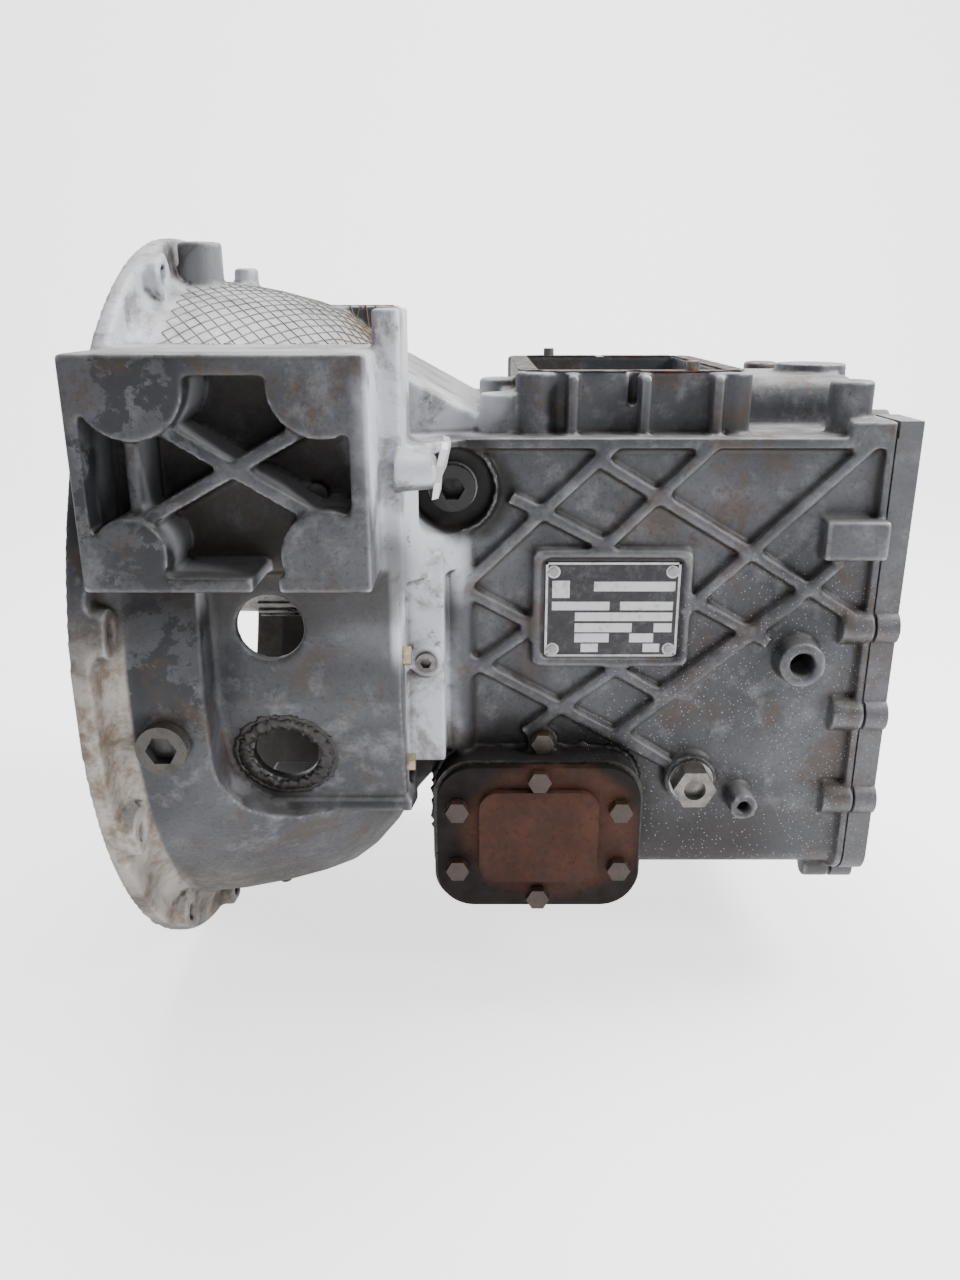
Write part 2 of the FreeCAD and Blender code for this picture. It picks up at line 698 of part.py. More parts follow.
def main_housing():
    """The whole casting."""
    shell = bell_solids()
    outside = fuse("outside", shell + case_solids() + rear_bosses(435, "case_back") + side_solids()
                   + mount_box_solids())
    hollow = cut("hollow", outside, [
        bell_cavity(),
        fork_recess(),
        mount_box_pocket(),
        block("case_cavity", ("wall_back", "-case_half + case_wall", "case_bottom + case_wall"),
              ("case_back + 1", "case_half - case_wall", "roof_under")),
    ])
    inside = fuse("inside", [hollow] + fork_housing_solids(shell[0]) + bearing_bosses())
    holes = [rod("bell_bolt_hole", -1, *polar(size("bell_bolt_circle") / 2, angle), "bell_bolt_hole", 24)
             for angle in flange_angles()]
    holes += [rod("rear_bolt_hole", 436, across, up, 4, 24) for across, up in rear_bolt_places()]
    holes += rim_holes(size("rim_top") - size("rim_bolt_depth"), size("rim_bolt_depth") + 1)
    holes += [
        prism("fork_inside", [(-140, 44), (-182, 44), (-182, -13), (-158, -86), (-140, -86)],
              size("fork_front"), size("fork_back") - 8),
        side_rod("fork_window", "fork_window", -150, "fork_hole", 60),
        side_rod("fork_low_window", "low_window", -140, "fork_hole", 60),
        block("box_gap", (96, "box_face - 1", "box_low - 1"), (109, "box_floor", 84)),
        block("shift_opening", ("rim_front + rim_wall", "rim_near + rim_wall", "roof_under - 1"),
              ("rim_back - rim_wall", "rim_far - rim_wall", "rim_top + 1")),
        rounded_pad("pto_window", "pto_centre_x", "pto_centre_z", "pto_window_length", "pto_window_height",
                    "pto_pad_face - 1", -100, "pto_bolt_corner"),
        rod("input_seat", "wall_front - 6.5", 0, 0, 50, 24),
        rod("counter_seat_hole", "wall_front - 4.5", COUNTER_Y, COUNTER_Z, 36, 24),
        rod("idler_hole", 345, IDLER_Y, IDLER_Z, 10, 54),
        side_rod("level_plug_recess", "level_plug", -116, "level_recess", 40),
        side_rod("level_plug_hole", "level_plug", -100, 11, 20),
        side_rod("side_boss_hole", "side_boss", -112, 7.7, 40),
        side_rod("sensor_hole", "sensor_boss", -124, 4, 30),
        side_rod("drain_hole", "drain_plug", -108, 9, 30),
        rod("rear_boss_hole", 433, -105, 140, 4.2, 25, UPRIGHT),
        rod("rear_boss_hole", 433, 105, 140, 4.2, 25, UPRIGHT),
        rod("front_boss_hole", 222, -100, 132, 4.2, 25, UPRIGHT),
    ]
    holes += [rod("rail_hole", "rail_start - 10", across, "rail_height", "rail_radius + running_gap", 25)
              for across in RAIL_PLACES.values()]
    holes += [
        side_rod("bell_plug_hole", "bell_plug", -200, 11, 30),
        side_rod("bell_plug_spotface", "bell_plug", -217.6, 15.5, 20),
        side_rod("tray_plug_hole", "tray_plug", "box_floor + 4", 6, 8),
        side_rod("socket_screw_hole", "socket_screw", -150, 6, 12),
        side_rod("side_screw_hole", "side_screw", -116, 4, 20),
    ]
    holes += [rod("fork_bolt_hole", "fork_back - 9", y, z, 3, 10) for y, z in FORK_BOLT_PLACES]
    holes += [rod("dowel_hole", x, y, "rim_top - 8", 4, 12, UPRIGHT) for x, y in dowel_places()]
    holes += [rod("pto_bolt_hole", x, "pto_pad_face + 16", z, "small_bolt", 20, TO_NEAR_SIDE)
              for x, z in pto_bolt_places()]
    holes += [rod("retainer_hole", "wall_front - 7", across, up, "small_bolt", 17)
              for across, up in retainer_places()]
    return node(cut("main_housing", inside, holes), "main_housing")


def rim_holes(start, length, radius="rim_bolt_hole"):
    """Upright holes around the shift opening."""
    return [rod("rim_hole", x, y, start, radius, length, UPRIGHT) for x, y in rim_bolt_places()]


# (y, z) places of the two bolts in the fork housing's back end.
FORK_BOLT_PLACES = ((-177, 10), (-163, -64))


def dowel_places():
    """The (x, y) places of the shift cover's two dowels."""
    return ((size("rim_front") + 30, size("rim_far") - 6), (size("rim_back") - 34, size("rim_near") + 6))


def rim_bolt_places():
    """The (x, y) places of the shift cover's bolts on the rim."""
    front, back = size("rim_front") + 10, size("rim_back") - 10
    near, far = size("rim_near") + 4, size("rim_far") - 4
    return [(x, y) for x in (front, (front + back) / 2, back) for y in (near, far)]


def pto_bolt_places():
    """The (x, z) places of the power take-off cover's bolts."""
    x, z = size("pto_centre_x"), size("pto_centre_z")
    corners = [(x + across * 52, z + up * 21) for across in (-1, 1) for up in (-1, 1)]
    return corners + [(x, z + 42), (x, z - 42)]


def retainer_places():
    """The (y, z) places of the input retainer's bolts, clear of the countershaft's bearing."""
    return [polar(60, 213 + 60 * number) for number in range(6)]


def hex_bolts(name, places, across_flats, head, shank_radius, shank, turn=TO_NEAR_SIDE):
    """A set of hex-headed bolts whose heads sit on one plane and face one way."""
    facing = turn.multVec(Z_AXIS)
    bolts = []
    for place in places:
        root = FreeCAD.Vector(*place) - facing * shank
        parts = [hexagon(name + "_head", *place, across_flats, head, turn),
                 rod(name + "_washer", *place, across_flats / 2 + 0.6, 1.2, turn),
                 rod(name + "_shank", *root, shank_radius, shank + 1, turn)]
        bolts.append(fuse(name + "_bolt", parts))
    return node(group(name, bolts), name)


# ---------------------------------------------------------------- covers, plugs and small fittings

COVER_START = size("case_back") + size("cover_gasket_thick")


def rear_cover():
    """Plate that closes the case behind, with bosses for the rear bearings and rails."""
    end = f"{COVER_START} + cover_thick"
    cover_block = block("cover_block", (COVER_START, "-case_half - cover_lip", "case_bottom - 2"),
                        (end, "case_half + cover_lip", "deck_top"))
    plate = fillet("cover_plate", cover_block, "case_corner", low_corner)
    solids = [
        plate,
        block("cover_pad", (COVER_START, "-rail_ledge", "case_top"), (end, -88, "rear_pad_top")),
        rod("cover_foot", COVER_START, -100, "case_bottom - 7", 9, "cover_thick"),
        rod("main_boss", 443, 0, 0, 50, 16),
        rod("counter_boss", 443, COUNTER_Y, COUNTER_Z, 46, 16),
        rod("seal_boss", f"{end} - 1", 0, 0, 36, 13),
        block("rail_boss", (440, -44, 84), (458, 44, 112)),
    ]
    solids += rear_bosses(COVER_START, end)
    spaces = [
        rod("main_seat", 442, 0, 0, 40, 22.5),
        rod("shaft_hole", 450, 0, 0, 21, 40),
        rod("seal_seat", f"{end} + 4", 0, 0, 27, 20),
        rod("counter_seat_hole", 442, COUNTER_Y, COUNTER_Z, 36, 20.5),
    ]
    spaces += [rod("cover_bolt_hole", 440, across, up, "cover_bolt_hole", 40)
               for across, up in rear_bolt_places()]
    spaces += [rod("cover_head_hole", f"{end} - cover_head_depth", across, up, "cover_head_radius", 12)
               for across, up in rear_bolt_places()]
    spaces += [rod("rail_hole", 439, across, "rail_height", "rail_radius + running_gap", 24)
               for across in RAIL_PLACES.values()]
    return node(cut("rear_cover", fuse("cover_solid", solids), spaces), "rear_cover")


def rear_cover_bolts():
    """Socket-headed screws, sunk in the rear cover."""
    seat = COVER_START + size("cover_thick") - size("cover_head_depth")
    screws = []
    for across, up in rear_bolt_places():
        head = rod("cover_screw_head", seat, across, up, 6.5, 8)
        screw = fuse("cover_screw_solid", [head, rod("cover_screw_shank", seat - 24, across, up, 4, 25)])
        socket = hexagon("cover_screw_socket", seat + 3.5, across, up, 6, 6)
        screws.append(cut("cover_screw", screw, [socket]))
    node(group("rear_cover_bolts", screws), "rear_cover_bolts")


def rear_cover_gasket():
    """Thin gasket between the case and its rear cover."""
    gasket_block = block("gasket_block", ("case_back", "-case_half - cover_lip", "case_bottom - 2"),
                         (COVER_START, "case_half + cover_lip", "deck_top"))
    sheet_block = fillet("gasket_sheet", gasket_block, "case_corner", low_corner)
    inner = block("gasket_inner", ("case_back - 1", "-case_half + case_wall", "case_bottom + case_wall"),
                  (f"{COVER_START} + 1", "case_half - case_wall", "roof_under"))
    holes = [rod("gasket_hole", 450, across, up, "cover_bolt_hole", 12)
             for across, up in rear_bolt_places()]
    return node(cut("rear_cover_gasket", sheet_block, [inner] + holes), "rear_cover_gasket")


def pto_clearance_holes():
    """Clearance holes for the power take-off cover's bolts."""
    return [rod("clearance_hole", x, "pto_pad_face + 1", z, "small_bolt_hole", 20, TO_NEAR_SIDE)
            for x, z in pto_bolt_places()]


def pto_cover():
    """Pressed cover over the power take-off opening."""
    start = "pto_pad_face - pto_gasket_thick"
    flange = rounded_pad("cover_flange", "pto_centre_x", "pto_centre_z", "pto_length - 2", "pto_height - 2",
                         f"{start} - pto_flange_thick", start, "pto_corner")
    dome = rounded_pad("cover_dome", "pto_centre_x", "pto_centre_z + 2.5", 76, 64,
                       f"{start} - pto_flange_thick - pto_dome", f"{start} - 1", "pto_bolt_corner")
    pressing = fuse("cover_pressing", [flange, dome])
    return node(cut("pto_cover", pressing, pto_clearance_holes()), "pto_cover")


def pto_gasket():
    """Gasket under the power take-off cover, standing out a little around it."""
    sheet_pad = rounded_pad("gasket_pad", "pto_centre_x", "pto_centre_z", "pto_length + 2", "pto_height + 2",
                            "pto_pad_face - pto_gasket_thick", "pto_pad_face", "pto_corner")
    window = rounded_pad("gasket_window", "pto_centre_x", "pto_centre_z", "pto_window_length",
                         "pto_window_height", "pto_pad_face - 5", "pto_pad_face + 5", "pto_bolt_corner")
    return node(cut("pto_gasket", sheet_pad, [window] + pto_clearance_holes()), "pto_gasket")


def name_plate():
    """Blank rating plate on its cast ground, with its rivets."""
    plate = block("plate_sheet", (250, -127, -8), (333, -126, 53))
    places = [(255, -3), (328, -3), (255, 47), (328, 47)]
    holes = [rod("plate_hole", x, -125, z, 1.6, 4, TO_NEAR_SIDE) for x, z in places]
    node(cut("name_plate", plate, holes), "name_plate")
    rivets = []
    for x, z in places:
        head = rod("rivet_head", x, -127, z, 2.8, 1.2, TO_NEAR_SIDE)
        rivets.append(fuse("rivet", [head, rod("rivet_shank", x, -126, z, 1.6, 1.5, TO_NEAR_SIDE)]))
    node(group("name_plate_rivets", rivets), "name_plate_rivets")


def small_fittings():
    """Plugs, screws, washers and dowels in the casting."""
    level_plug = fuse("level_plug_solid", [
        side_rod("level_plug_shank", "level_plug", "-case_half + 22", 11, 18),
        side_rod("level_plug_rim", "level_plug", -117.5, 14, 8)])
    node(cut("oil_level_plug", level_plug, [
        side_hexagon("level_plug_socket", "level_plug", -114, 13, 20)]), "oil_level_plug")
    drain_plug = fuse("drain_plug_solid", [
        side_rod("drain_shank", "drain_plug", -116, 9, 18),
        side_hexagon("drain_head", "drain_plug", -133.5, 24, 13)])
    node(cut("oil_drain_plug", drain_plug, [side_rod("drain_recess", "drain_plug", -141, 7, 10)]),
         "oil_drain_plug")
    washers = [
        cut("level_seal", side_rod("level_seal_disc", "level_plug", -116, 15, 1.5),
            [side_rod("level_seal_hole", "level_plug", -110, 11, 20)]),
        cut("drain_seal", side_rod("drain_seal_disc", "drain_plug", -132, 14.5, 1.5),
            [side_rod("drain_seal_hole", "drain_plug", -110, 9, 40)]),
    ]
    node(group("plug_seals", washers), "plug_seals")
    bell_plug = fuse("bell_plug_solid", [
        side_rod("bell_plug_shank", "bell_plug", -204, 11, 14),
        side_rod("bell_plug_head", "bell_plug", -217.6, 14, 8)])
    bell_socket = side_hexagon("bell_plug_socket", "bell_plug", -218, 15, 12)
    node(cut("bell_socket_plug", bell_plug, [bell_socket]), "bell_socket_plug")
    hex_bolts("side_screw_plug", [(size("side_screw_x"), -128, size("side_screw_z"))], 13, 6, 4, 10)
    fork_bolts = [(size("fork_back"), y, z) for y, z in FORK_BOLT_PLACES]
    hex_bolts("fork_housing_bolts", fork_bolts, 10, 5, 3, 7, ALONG_X)
    node(cut("socket_screw", side_rod("socket_screw_rod", "socket_screw", -150, 6, 7), [
        side_hexagon("socket_screw_hex", "socket_screw", -153, 6, 6)]), "socket_screw")
    node(side_rod("tray_plug", "tray_plug", "box_floor + 4", 6, 8), "tray_plug")
    dowels = [rod("dowel", x, y, "rim_top - 8", 4, 14, UPRIGHT) for x, y in dowel_places()]
    node(group("shift_cover_dowels", dowels), "shift_cover_dowels")


def shift_cover_gasket():
    """Gasket left on the rim of the shift opening."""
    outer = fillet("rim_gasket_sheet", block("rim_gasket_block", ("rim_front", "rim_near", "rim_top"),
                                             ("rim_back", "rim_far", "rim_top + rim_gasket_thick")),
                   "case_corner", runs_along(Z_AXIS))
    inner = block("rim_gasket_inner", ("rim_front + rim_wall", "rim_near + rim_wall", "rim_top - 1"),
                  ("rim_back - rim_wall", "rim_far - rim_wall", "rim_top + 3"))
    holes = rim_holes(size("rim_top") - 2, 6, "rim_bolt_hole + 0.6")
    dowel_holes = [rod("dowel_hole", x, y, "rim_top - 2", 4.2, 6, UPRIGHT) for x, y in dowel_places()]
    return node(cut("shift_cover_gasket", outer, [inner] + holes + dowel_holes), "shift_cover_gasket")


# ---------------------------------------------------------------- bearings

def bearing(prefix, start, end, bore, radius, ball, balls, y=0, z=0):
    """Outer ring, inner ring and caged balls of a ball bearing."""
    middle = (bore + radius) / 2
    race = ball * 0.55
    outer = ring(prefix + "_outer_blank", start, end, middle + race, radius, y, z)
    inner = ring(prefix + "_inner_blank", start, end, bore, middle - race, y, z)
    track_x = (start + end) / 2
    solids = []
    pockets = []
    for number in range(balls):
        across, up = polar(middle, 360 * number / balls)
        for kept, radius_here in ((solids, ball), (pockets, ball + 0.2)):
            sphere = document.addObject("Part::Sphere", prefix + "_ball")
            sphere.Radius = radius_here
            kept.append(put(sphere, track_x, y + across, z + up))
    track = document.addObject("Part::Torus", prefix + "_track")
    track.Radius1 = middle
    track.Radius2 = ball + 0.35
    put(track, track_x, y, z, ALONG_X)
    cage = ring(prefix + "_cage", track_x - 2, track_x + 2, middle - race + 1, middle + race - 1, y, z)
    return (cut(prefix + "_outer_ring", outer, [track]), cut(prefix + "_inner_ring", inner, [track]),
            group(prefix + "_balls", solids + [cut(prefix + "_cage_pockets", cage, pockets)]))


def bearings():
    """The four ball bearings of the input shaft, mainshaft and countershaft."""
    input_parts = bearing("input_bearing", 172, 194, 22.5, 50, 9, 9)
    main_parts = bearing("main_bearing", 443.5, 464.5, size("tail_radius"), 40, 7.5, 9)
    seat = size("counter_seat")
    front_parts = bearing("counter_front_bearing", 175, 194, seat, 36, 7, 9, COUNTER_Y, COUNTER_Z)
    rear_parts = bearing("counter_rear_bearing", 443.5, 462.5, seat, 36, 7, 9, COUNTER_Y, COUNTER_Z)
    for name, parts in (("input_bearing", input_parts), ("main_bearing", main_parts)):
        node(parts[0], name + "_outer")
        node(parts[1], name + "_inner")
        node(parts[2], name + "_balls")
    for number, name in enumerate(("outers", "inners", "balls")):
        solids = [front_parts[number], rear_parts[number]]
        node(group("countershaft_bearing_" + name, solids), "countershaft_bearing_" + name)


def input_end():
    """Retainer, its bolts, the input seal and the countershaft's end plug, on the bell side."""
    retainer = turned("retainer_body", [(164, 24), (164, 68), (172, 68), (172, 47), (170, 47), (170, 24)])
    tube = ring("retainer_tube", 84, 165, 24, 28)
    bore = rod("seal_bore", 150, 0, 0, 26, 12)
    holes = [rod("retainer_bolt_hole", 160, across, up, "small_bolt_hole", 20)
             for across, up in retainer_places()]
    retainer_solid = fuse("retainer_solid", [retainer, tube])
    node(cut("input_retainer", retainer_solid, [bore] + holes), "input_retainer")
    node(ring("input_seal", 152, 160, 22.55, 26), "input_seal")
    bolts = []
    for across, up in retainer_places():
        head = hexagon("retainer_bolt_head", 158.5, across, up, 13, 5.5)
        shank = rod("retainer_bolt_shank", 163, across, up, "small_bolt", 22)
        bolts.append(fuse("retainer_bolt", [head, shank]))
    node(group("retainer_bolts", bolts), "retainer_bolts")
    node(rod("countershaft_end_plug", 174, COUNTER_Y, COUNTER_Z, 36, 1), "countershaft_end_plug")
    seal_start = COVER_START + size("cover_thick") + 4
    node(ring("output_seal", seal_start, seal_start + 7, "tail_radius + running_gap", 27), "output_seal")


# ---------------------------------------------------------------- shafts and gears

def toothed(name, teeth, turn, start, end, y=0.0, z=0.0):
    """The toothed rim of a spur gear as a solid disc."""
    return prism(name, gear_corners(teeth, turn), start, end, y, z)


def dog_ring(name, start, end):
    """Dog teeth beside a gear, kept low enough for a sleeve to pass over them at any angle."""
    return prism(name, spline_corners(33.8, 35.7, 3.4), start, end)


def input_shaft():
    """Splined input shaft with its gear and dog teeth in one piece."""
    body = stepped("input_body", [(5, 12.5), (24, 16), (44, 17), (112, 20), (150, 22.5), (196, 27.5),
                                  (216, 31), (229, 0)])
    splines = prism("input_splines", spline_corners(16.5, 19.5, 5, 18), 46, 108)
    gear = toothed("input_gear", 21, meshing_turn(TO_MAIN, 39, TO_MAIN, 21), 196, 216)
    dogs = dog_ring("input_dogs", 216, 222)
    pocket = rod("pilot_pocket", 205, 0, 0, 16, 30)
    node(cut("input_shaft", fuse("input_solid", [body, splines, gear, dogs]), [pocket]), "input_shaft")


# Gears that turn freely on the mainshaft: name, teeth, toothed span, dog side (-1 front, 1 rear).
MAIN_GEARS = (
    ("gear_3", 28, 32, 260, 278, -1),
    ("gear_2", 36, 24, 280, 298, 1),
    ("gear_1", 44, 16, 342, 362, -1),
    ("gear_reverse", REVERSE_TEETH, 0, 364, 380, 1),
    ("gear_5", 20, 40, 424, 442, -1),
)


def reverse_turns():
    """Tooth angles of the reverse idler and of the reverse gear that it drives."""
    from_counter = math.degrees(math.atan2(IDLER_Z - COUNTER_Z, IDLER_Y - COUNTER_Y))
    idler_turn = meshing_turn(TO_MAIN, REVERSE_COUNTER_TEETH, from_counter, IDLER_TEETH)
    to_main = math.degrees(math.atan2(-IDLER_Z, -IDLER_Y))
    return idler_turn, meshing_turn(idler_turn, IDLER_TEETH, to_main, REVERSE_TEETH)


def bore_radius(name):
    """Inside radius of a free gear, which runs on its needle cage."""
    shaft = size("tail_radius") if name == "gear_5" else size("shaft_radius")
    return shaft + size("needle_wall") + size("running_gap")


def main_gears():
    """The five gears that turn freely on the mainshaft, each with its cone and dog teeth."""
    for name, teeth, partner, start, end, side in MAIN_GEARS:
        if name == "gear_reverse":
            turn = reverse_turns()[1]
        else:
            turn = meshing_turn(TO_MAIN, partner, TO_MAIN, teeth)
        face = start if side < 0 else end
        dogs = sorted((face, face + side * 6))
        neck = sorted((face, face + side * (7 if name == "gear_reverse" else 12)))
        solids = [toothed(name + "_teeth", teeth, turn, start, end),
                  dog_ring(name + "_dogs", *dogs),
                  rod(name + "_cone", neck[0], 0, 0, 31, neck[1] - neck[0])]
        low, high = min(start, neck[0]), max(end, neck[1])
        bore = rod(name + "_bore", low - 1, 0, 0, bore_radius(name), high - low + 2)
        node(cut(name, fuse(name + "_solid", solids), [bore]), name)


# Middle of each sliding sleeve along X.
SLEEVE_PLACES = {"34": 238, "12": 320, "5r": 402}


def mainshaft():
    """Mainshaft with its pilot nose and output splines, and what is fixed on it."""
    body = stepped("mainshaft_body", [(207, 12), (230, "shaft_radius"), (410, "tail_radius"), (482, 15.5),
                                      ("shaft_end", 0)])
    splines = prism("output_splines", spline_corners(15.4, 17.4, 5, 16), 483, size("shaft_end") - 3)
    node(fuse("mainshaft", [body, splines]), "mainshaft")
    node(ring("pilot_needle_bearing", 209, 227, 12, "16 - running_gap"), "pilot_needle_bearing")
    cages = []
    for name, _, _, start, end, side in MAIN_GEARS:
        shaft = "tail_radius" if name == "gear_5" else "shaft_radius"
        low, high = (start - 10, end - 2) if side < 0 else (start + 2, end + 4)
        cages.append(ring("needle_cage", low, high, shaft, f"{shaft} + needle_wall"))
    node(group("needle_cages", cages), "needle_cages")
    hubs = []
    for middle in SLEEVE_PLACES.values():
        hub = prism("hub_teeth", spline_corners(35.5, 38.5, 3.4), middle - 7, middle + 7)
        hubs.append(cut("hub", hub, [rod("hub_bore", middle - 8, 0, 0, "shaft_radius", 16)]))
    node(group("synchro_hubs", hubs), "synchro_hubs")
    rings = []
    for start in (223, 246.8, 305.8, 328, 410.5):
        blank = prism("ring_teeth", spline_corners(35.5, 38.5, 3.4), start, start + 6.2)
        rings.append(cut("blocker_ring", blank, [rod("ring_bore", start - 1, 0, 0, 31.4, 9)]))
    node(group("blocker_rings", rings), "blocker_rings")


def sleeves():
    """The three sliding sleeves."""
    for name, middle in SLEEVE_PLACES.items():
        half = size("sleeve_width") / 2
        body = rod("sleeve_body", middle - half, 0, 0, "sleeve_radius", "sleeve_width")
        groove = ring("sleeve_groove_space", f"{middle} - groove_width / 2",
                      f"{middle} + groove_width / 2", "sleeve_groove", "sleeve_radius + 2")
        splines = prism("sleeve_bore", spline_corners(36, 39, 3.9), middle - half - 1, middle + half + 1)
        node(cut("sleeve_" + name, body, [groove, splines]), "sleeve_" + name)


# Gears pressed on the countershaft: name, teeth, toothed span.
COUNTER_GEARS = (
    ("counter_drive_gear", 39, 197, 215),
    ("counter_gear_3", 32, 261, 277),
    ("counter_gear_2", 24, 281, 297),
    ("counter_gear_5", 40, 425, 441),
)


def countershaft():
    """Countershaft with its two smallest gears cut on it, and the four gears pressed on."""
    body = stepped("countershaft_body", [(176, "counter_seat"), (195, "counter_radius"),
                                         (442.5, "counter_seat"), (462, 0)], COUNTER_Y, COUNTER_Z)
    first = toothed("first_pinion", 16, TO_MAIN, 343, 361, COUNTER_Y, COUNTER_Z)
    reverse = toothed("reverse_pinion", REVERSE_COUNTER_TEETH, TO_MAIN, 365, 379, COUNTER_Y, COUNTER_Z)
    node(fuse("countershaft", [body, first, reverse]), "countershaft")
    for name, teeth, start, end in COUNTER_GEARS:
        rim = toothed(name + "_teeth", teeth, TO_MAIN, start, end, COUNTER_Y, COUNTER_Z)
        bore = rod(name + "_bore", start - 1, COUNTER_Y, COUNTER_Z, "counter_radius", end - start + 2)
        node(cut(name, rim, [bore]), name)


def reverse_idler():
    """Reverse idler gear and the fixed shaft that it turns on."""
    rim = toothed("idler_teeth", IDLER_TEETH, reverse_turns()[0], 364, 380, IDLER_Y, IDLER_Z)
    hub = rod("idler_hub", 360, IDLER_Y, IDLER_Z, 16, 24)
    bore = rod("idler_bore", 359, IDLER_Y, IDLER_Z, "10 + running_gap", 26)
    node(cut("reverse_idler", fuse("idler_solid", [rim, hub]), [bore]), "reverse_idler")
    node(rod("idler_shaft", 346, IDLER_Y, IDLER_Z, 10, 52), "idler_shaft")


# ---------------------------------------------------------------- selectors

def selectors():
    """The three selector rails, each with its jaw, and their forks."""
    jaw_start = 290
    for name, across in RAIL_PLACES.items():
        bar = rod("rail_bar", "rail_start", across, "rail_height", "rail_radius", "rail_end - rail_start")
        collar = rod("jaw_collar", jaw_start, across, "rail_height", 12, 14)
        horns = [block("jaw_horn", (start, across - 8, "rail_height"), (start + 4, across + 8, 128))
                 for start in (jaw_start, jaw_start + 10)]
        node(fuse("selector_rail_" + name, [bar, collar] + horns), "selector_rail_" + name)
        middle = SLEEVE_PLACES[name]
        start = f"{middle} - fork_thick / 2"
        arch = cut("fork_arch", rod("fork_arch_disc", start, 0, 0, 57, "fork_thick"), [
            rod("fork_arch_bore", middle - 10, 0, 0, "sleeve_groove + 1", 20),
            block("fork_arch_foot", (middle - 10, -80, -80), (middle + 10, 80, -8))])
        stem_foot = 44 if across else 50
        stem = block("fork_stem", (start, across - 9, stem_foot),
                     (f"{middle} + fork_thick / 2", across + 9, "rail_height"))
        grip = rod("fork_grip", middle - 11, across, "rail_height", 13, 22)
        hole = rod("fork_hole_space", middle - 12, across, "rail_height", "rail_radius", 24)
        solid = fuse("fork_solid", [arch, stem, grip])
        node(cut("shift_fork_" + name, solid, [hole]), "shift_fork_" + name)


# ---------------------------------------------------------------- build, check and write

main_housing()
rear_cover()
rear_cover_gasket()
rear_cover_bolts()
pto_cover()
pto_gasket()
pto_head_seat = size("pto_pad_face") - size("pto_gasket_thick") - size("pto_flange_thick")
pto_heads = [(x, pto_head_seat, z) for x, z in pto_bolt_places()]
hex_bolts("pto_cover_bolts", pto_heads, 13, 6.5, size("small_bolt"), 20)
name_plate()
small_fittings()
shift_cover_gasket()
bearings()
input_end()
input_shaft()
main_gears()
mainshaft()
sleeves()
countershaft()
reverse_idler()
selectors()

document.recompute()
for piece in document.Objects:
    if "Invalid" in piece.State or "Error" in piece.State:
        raise RuntimeError(f"{piece.Label} did not build")
for piece in finished:
    if piece.Shape.isNull() or not piece.Shape.isValid() or not piece.Shape.Solids:
        raise RuntimeError(f"{piece.Label} has no valid solid")

os.makedirs("parts", exist_ok=True)
for piece in finished:
    piece.Shape.exportStep(f"parts/{piece.Label}.step")
print(len(finished), "sub-parts written")
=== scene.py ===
import json
import math
import random

import bmesh
import bpy
from mathutils import Matrix, Vector
from mathutils.bvhtree import BVHTree


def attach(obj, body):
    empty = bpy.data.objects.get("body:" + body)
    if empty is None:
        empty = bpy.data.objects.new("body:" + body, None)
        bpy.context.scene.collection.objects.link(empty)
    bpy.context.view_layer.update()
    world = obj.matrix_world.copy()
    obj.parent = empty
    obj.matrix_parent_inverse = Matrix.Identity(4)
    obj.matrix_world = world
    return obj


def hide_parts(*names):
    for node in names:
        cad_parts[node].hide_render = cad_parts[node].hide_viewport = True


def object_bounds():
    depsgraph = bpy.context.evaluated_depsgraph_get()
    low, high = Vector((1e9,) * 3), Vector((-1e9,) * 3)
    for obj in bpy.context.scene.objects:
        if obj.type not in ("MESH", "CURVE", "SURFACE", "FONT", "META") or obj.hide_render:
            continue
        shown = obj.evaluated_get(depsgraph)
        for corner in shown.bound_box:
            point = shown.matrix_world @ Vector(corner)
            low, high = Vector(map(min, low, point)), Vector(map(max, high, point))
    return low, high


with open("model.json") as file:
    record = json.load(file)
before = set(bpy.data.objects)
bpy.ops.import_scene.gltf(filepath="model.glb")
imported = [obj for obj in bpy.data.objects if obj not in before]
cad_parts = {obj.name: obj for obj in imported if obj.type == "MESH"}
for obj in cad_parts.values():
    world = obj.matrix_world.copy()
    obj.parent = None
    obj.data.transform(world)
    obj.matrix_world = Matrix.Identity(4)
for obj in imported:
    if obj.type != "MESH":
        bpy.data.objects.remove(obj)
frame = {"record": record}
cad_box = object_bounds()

MM = 0.001
random.seed(7)


# ---------------------------------------------------------------- camera

CAMERA_PLACE = Vector((0.2108, -0.7225, 0.2022))
CAMERA_PITCH = 18.5
CAMERA_LENS = 28.125
CAMERA_SHIFT_X = -0.0016

# strength of the paper and of the sky: as light on the gearbox, and as the camera's own rays see them
PAPER_GLOW = 0.65
PAPER_GLOW_SEEN = 1.8
SKY = 0.16
SKY_SEEN = 2.0


def make_camera():
    data = bpy.data.cameras.new("view_camera")
    data.lens = CAMERA_LENS
    data.sensor_width = 36
    data.shift_x = CAMERA_SHIFT_X
    data.clip_start = 0.01
    camera = bpy.data.objects.new("view_camera", data)
    camera.location = CAMERA_PLACE
    camera.rotation_euler = (math.radians(90 - CAMERA_PITCH), 0, 0)
    bpy.context.scene.collection.objects.link(camera)
    bpy.context.scene.camera = camera


# ---------------------------------------------------------------- shader building

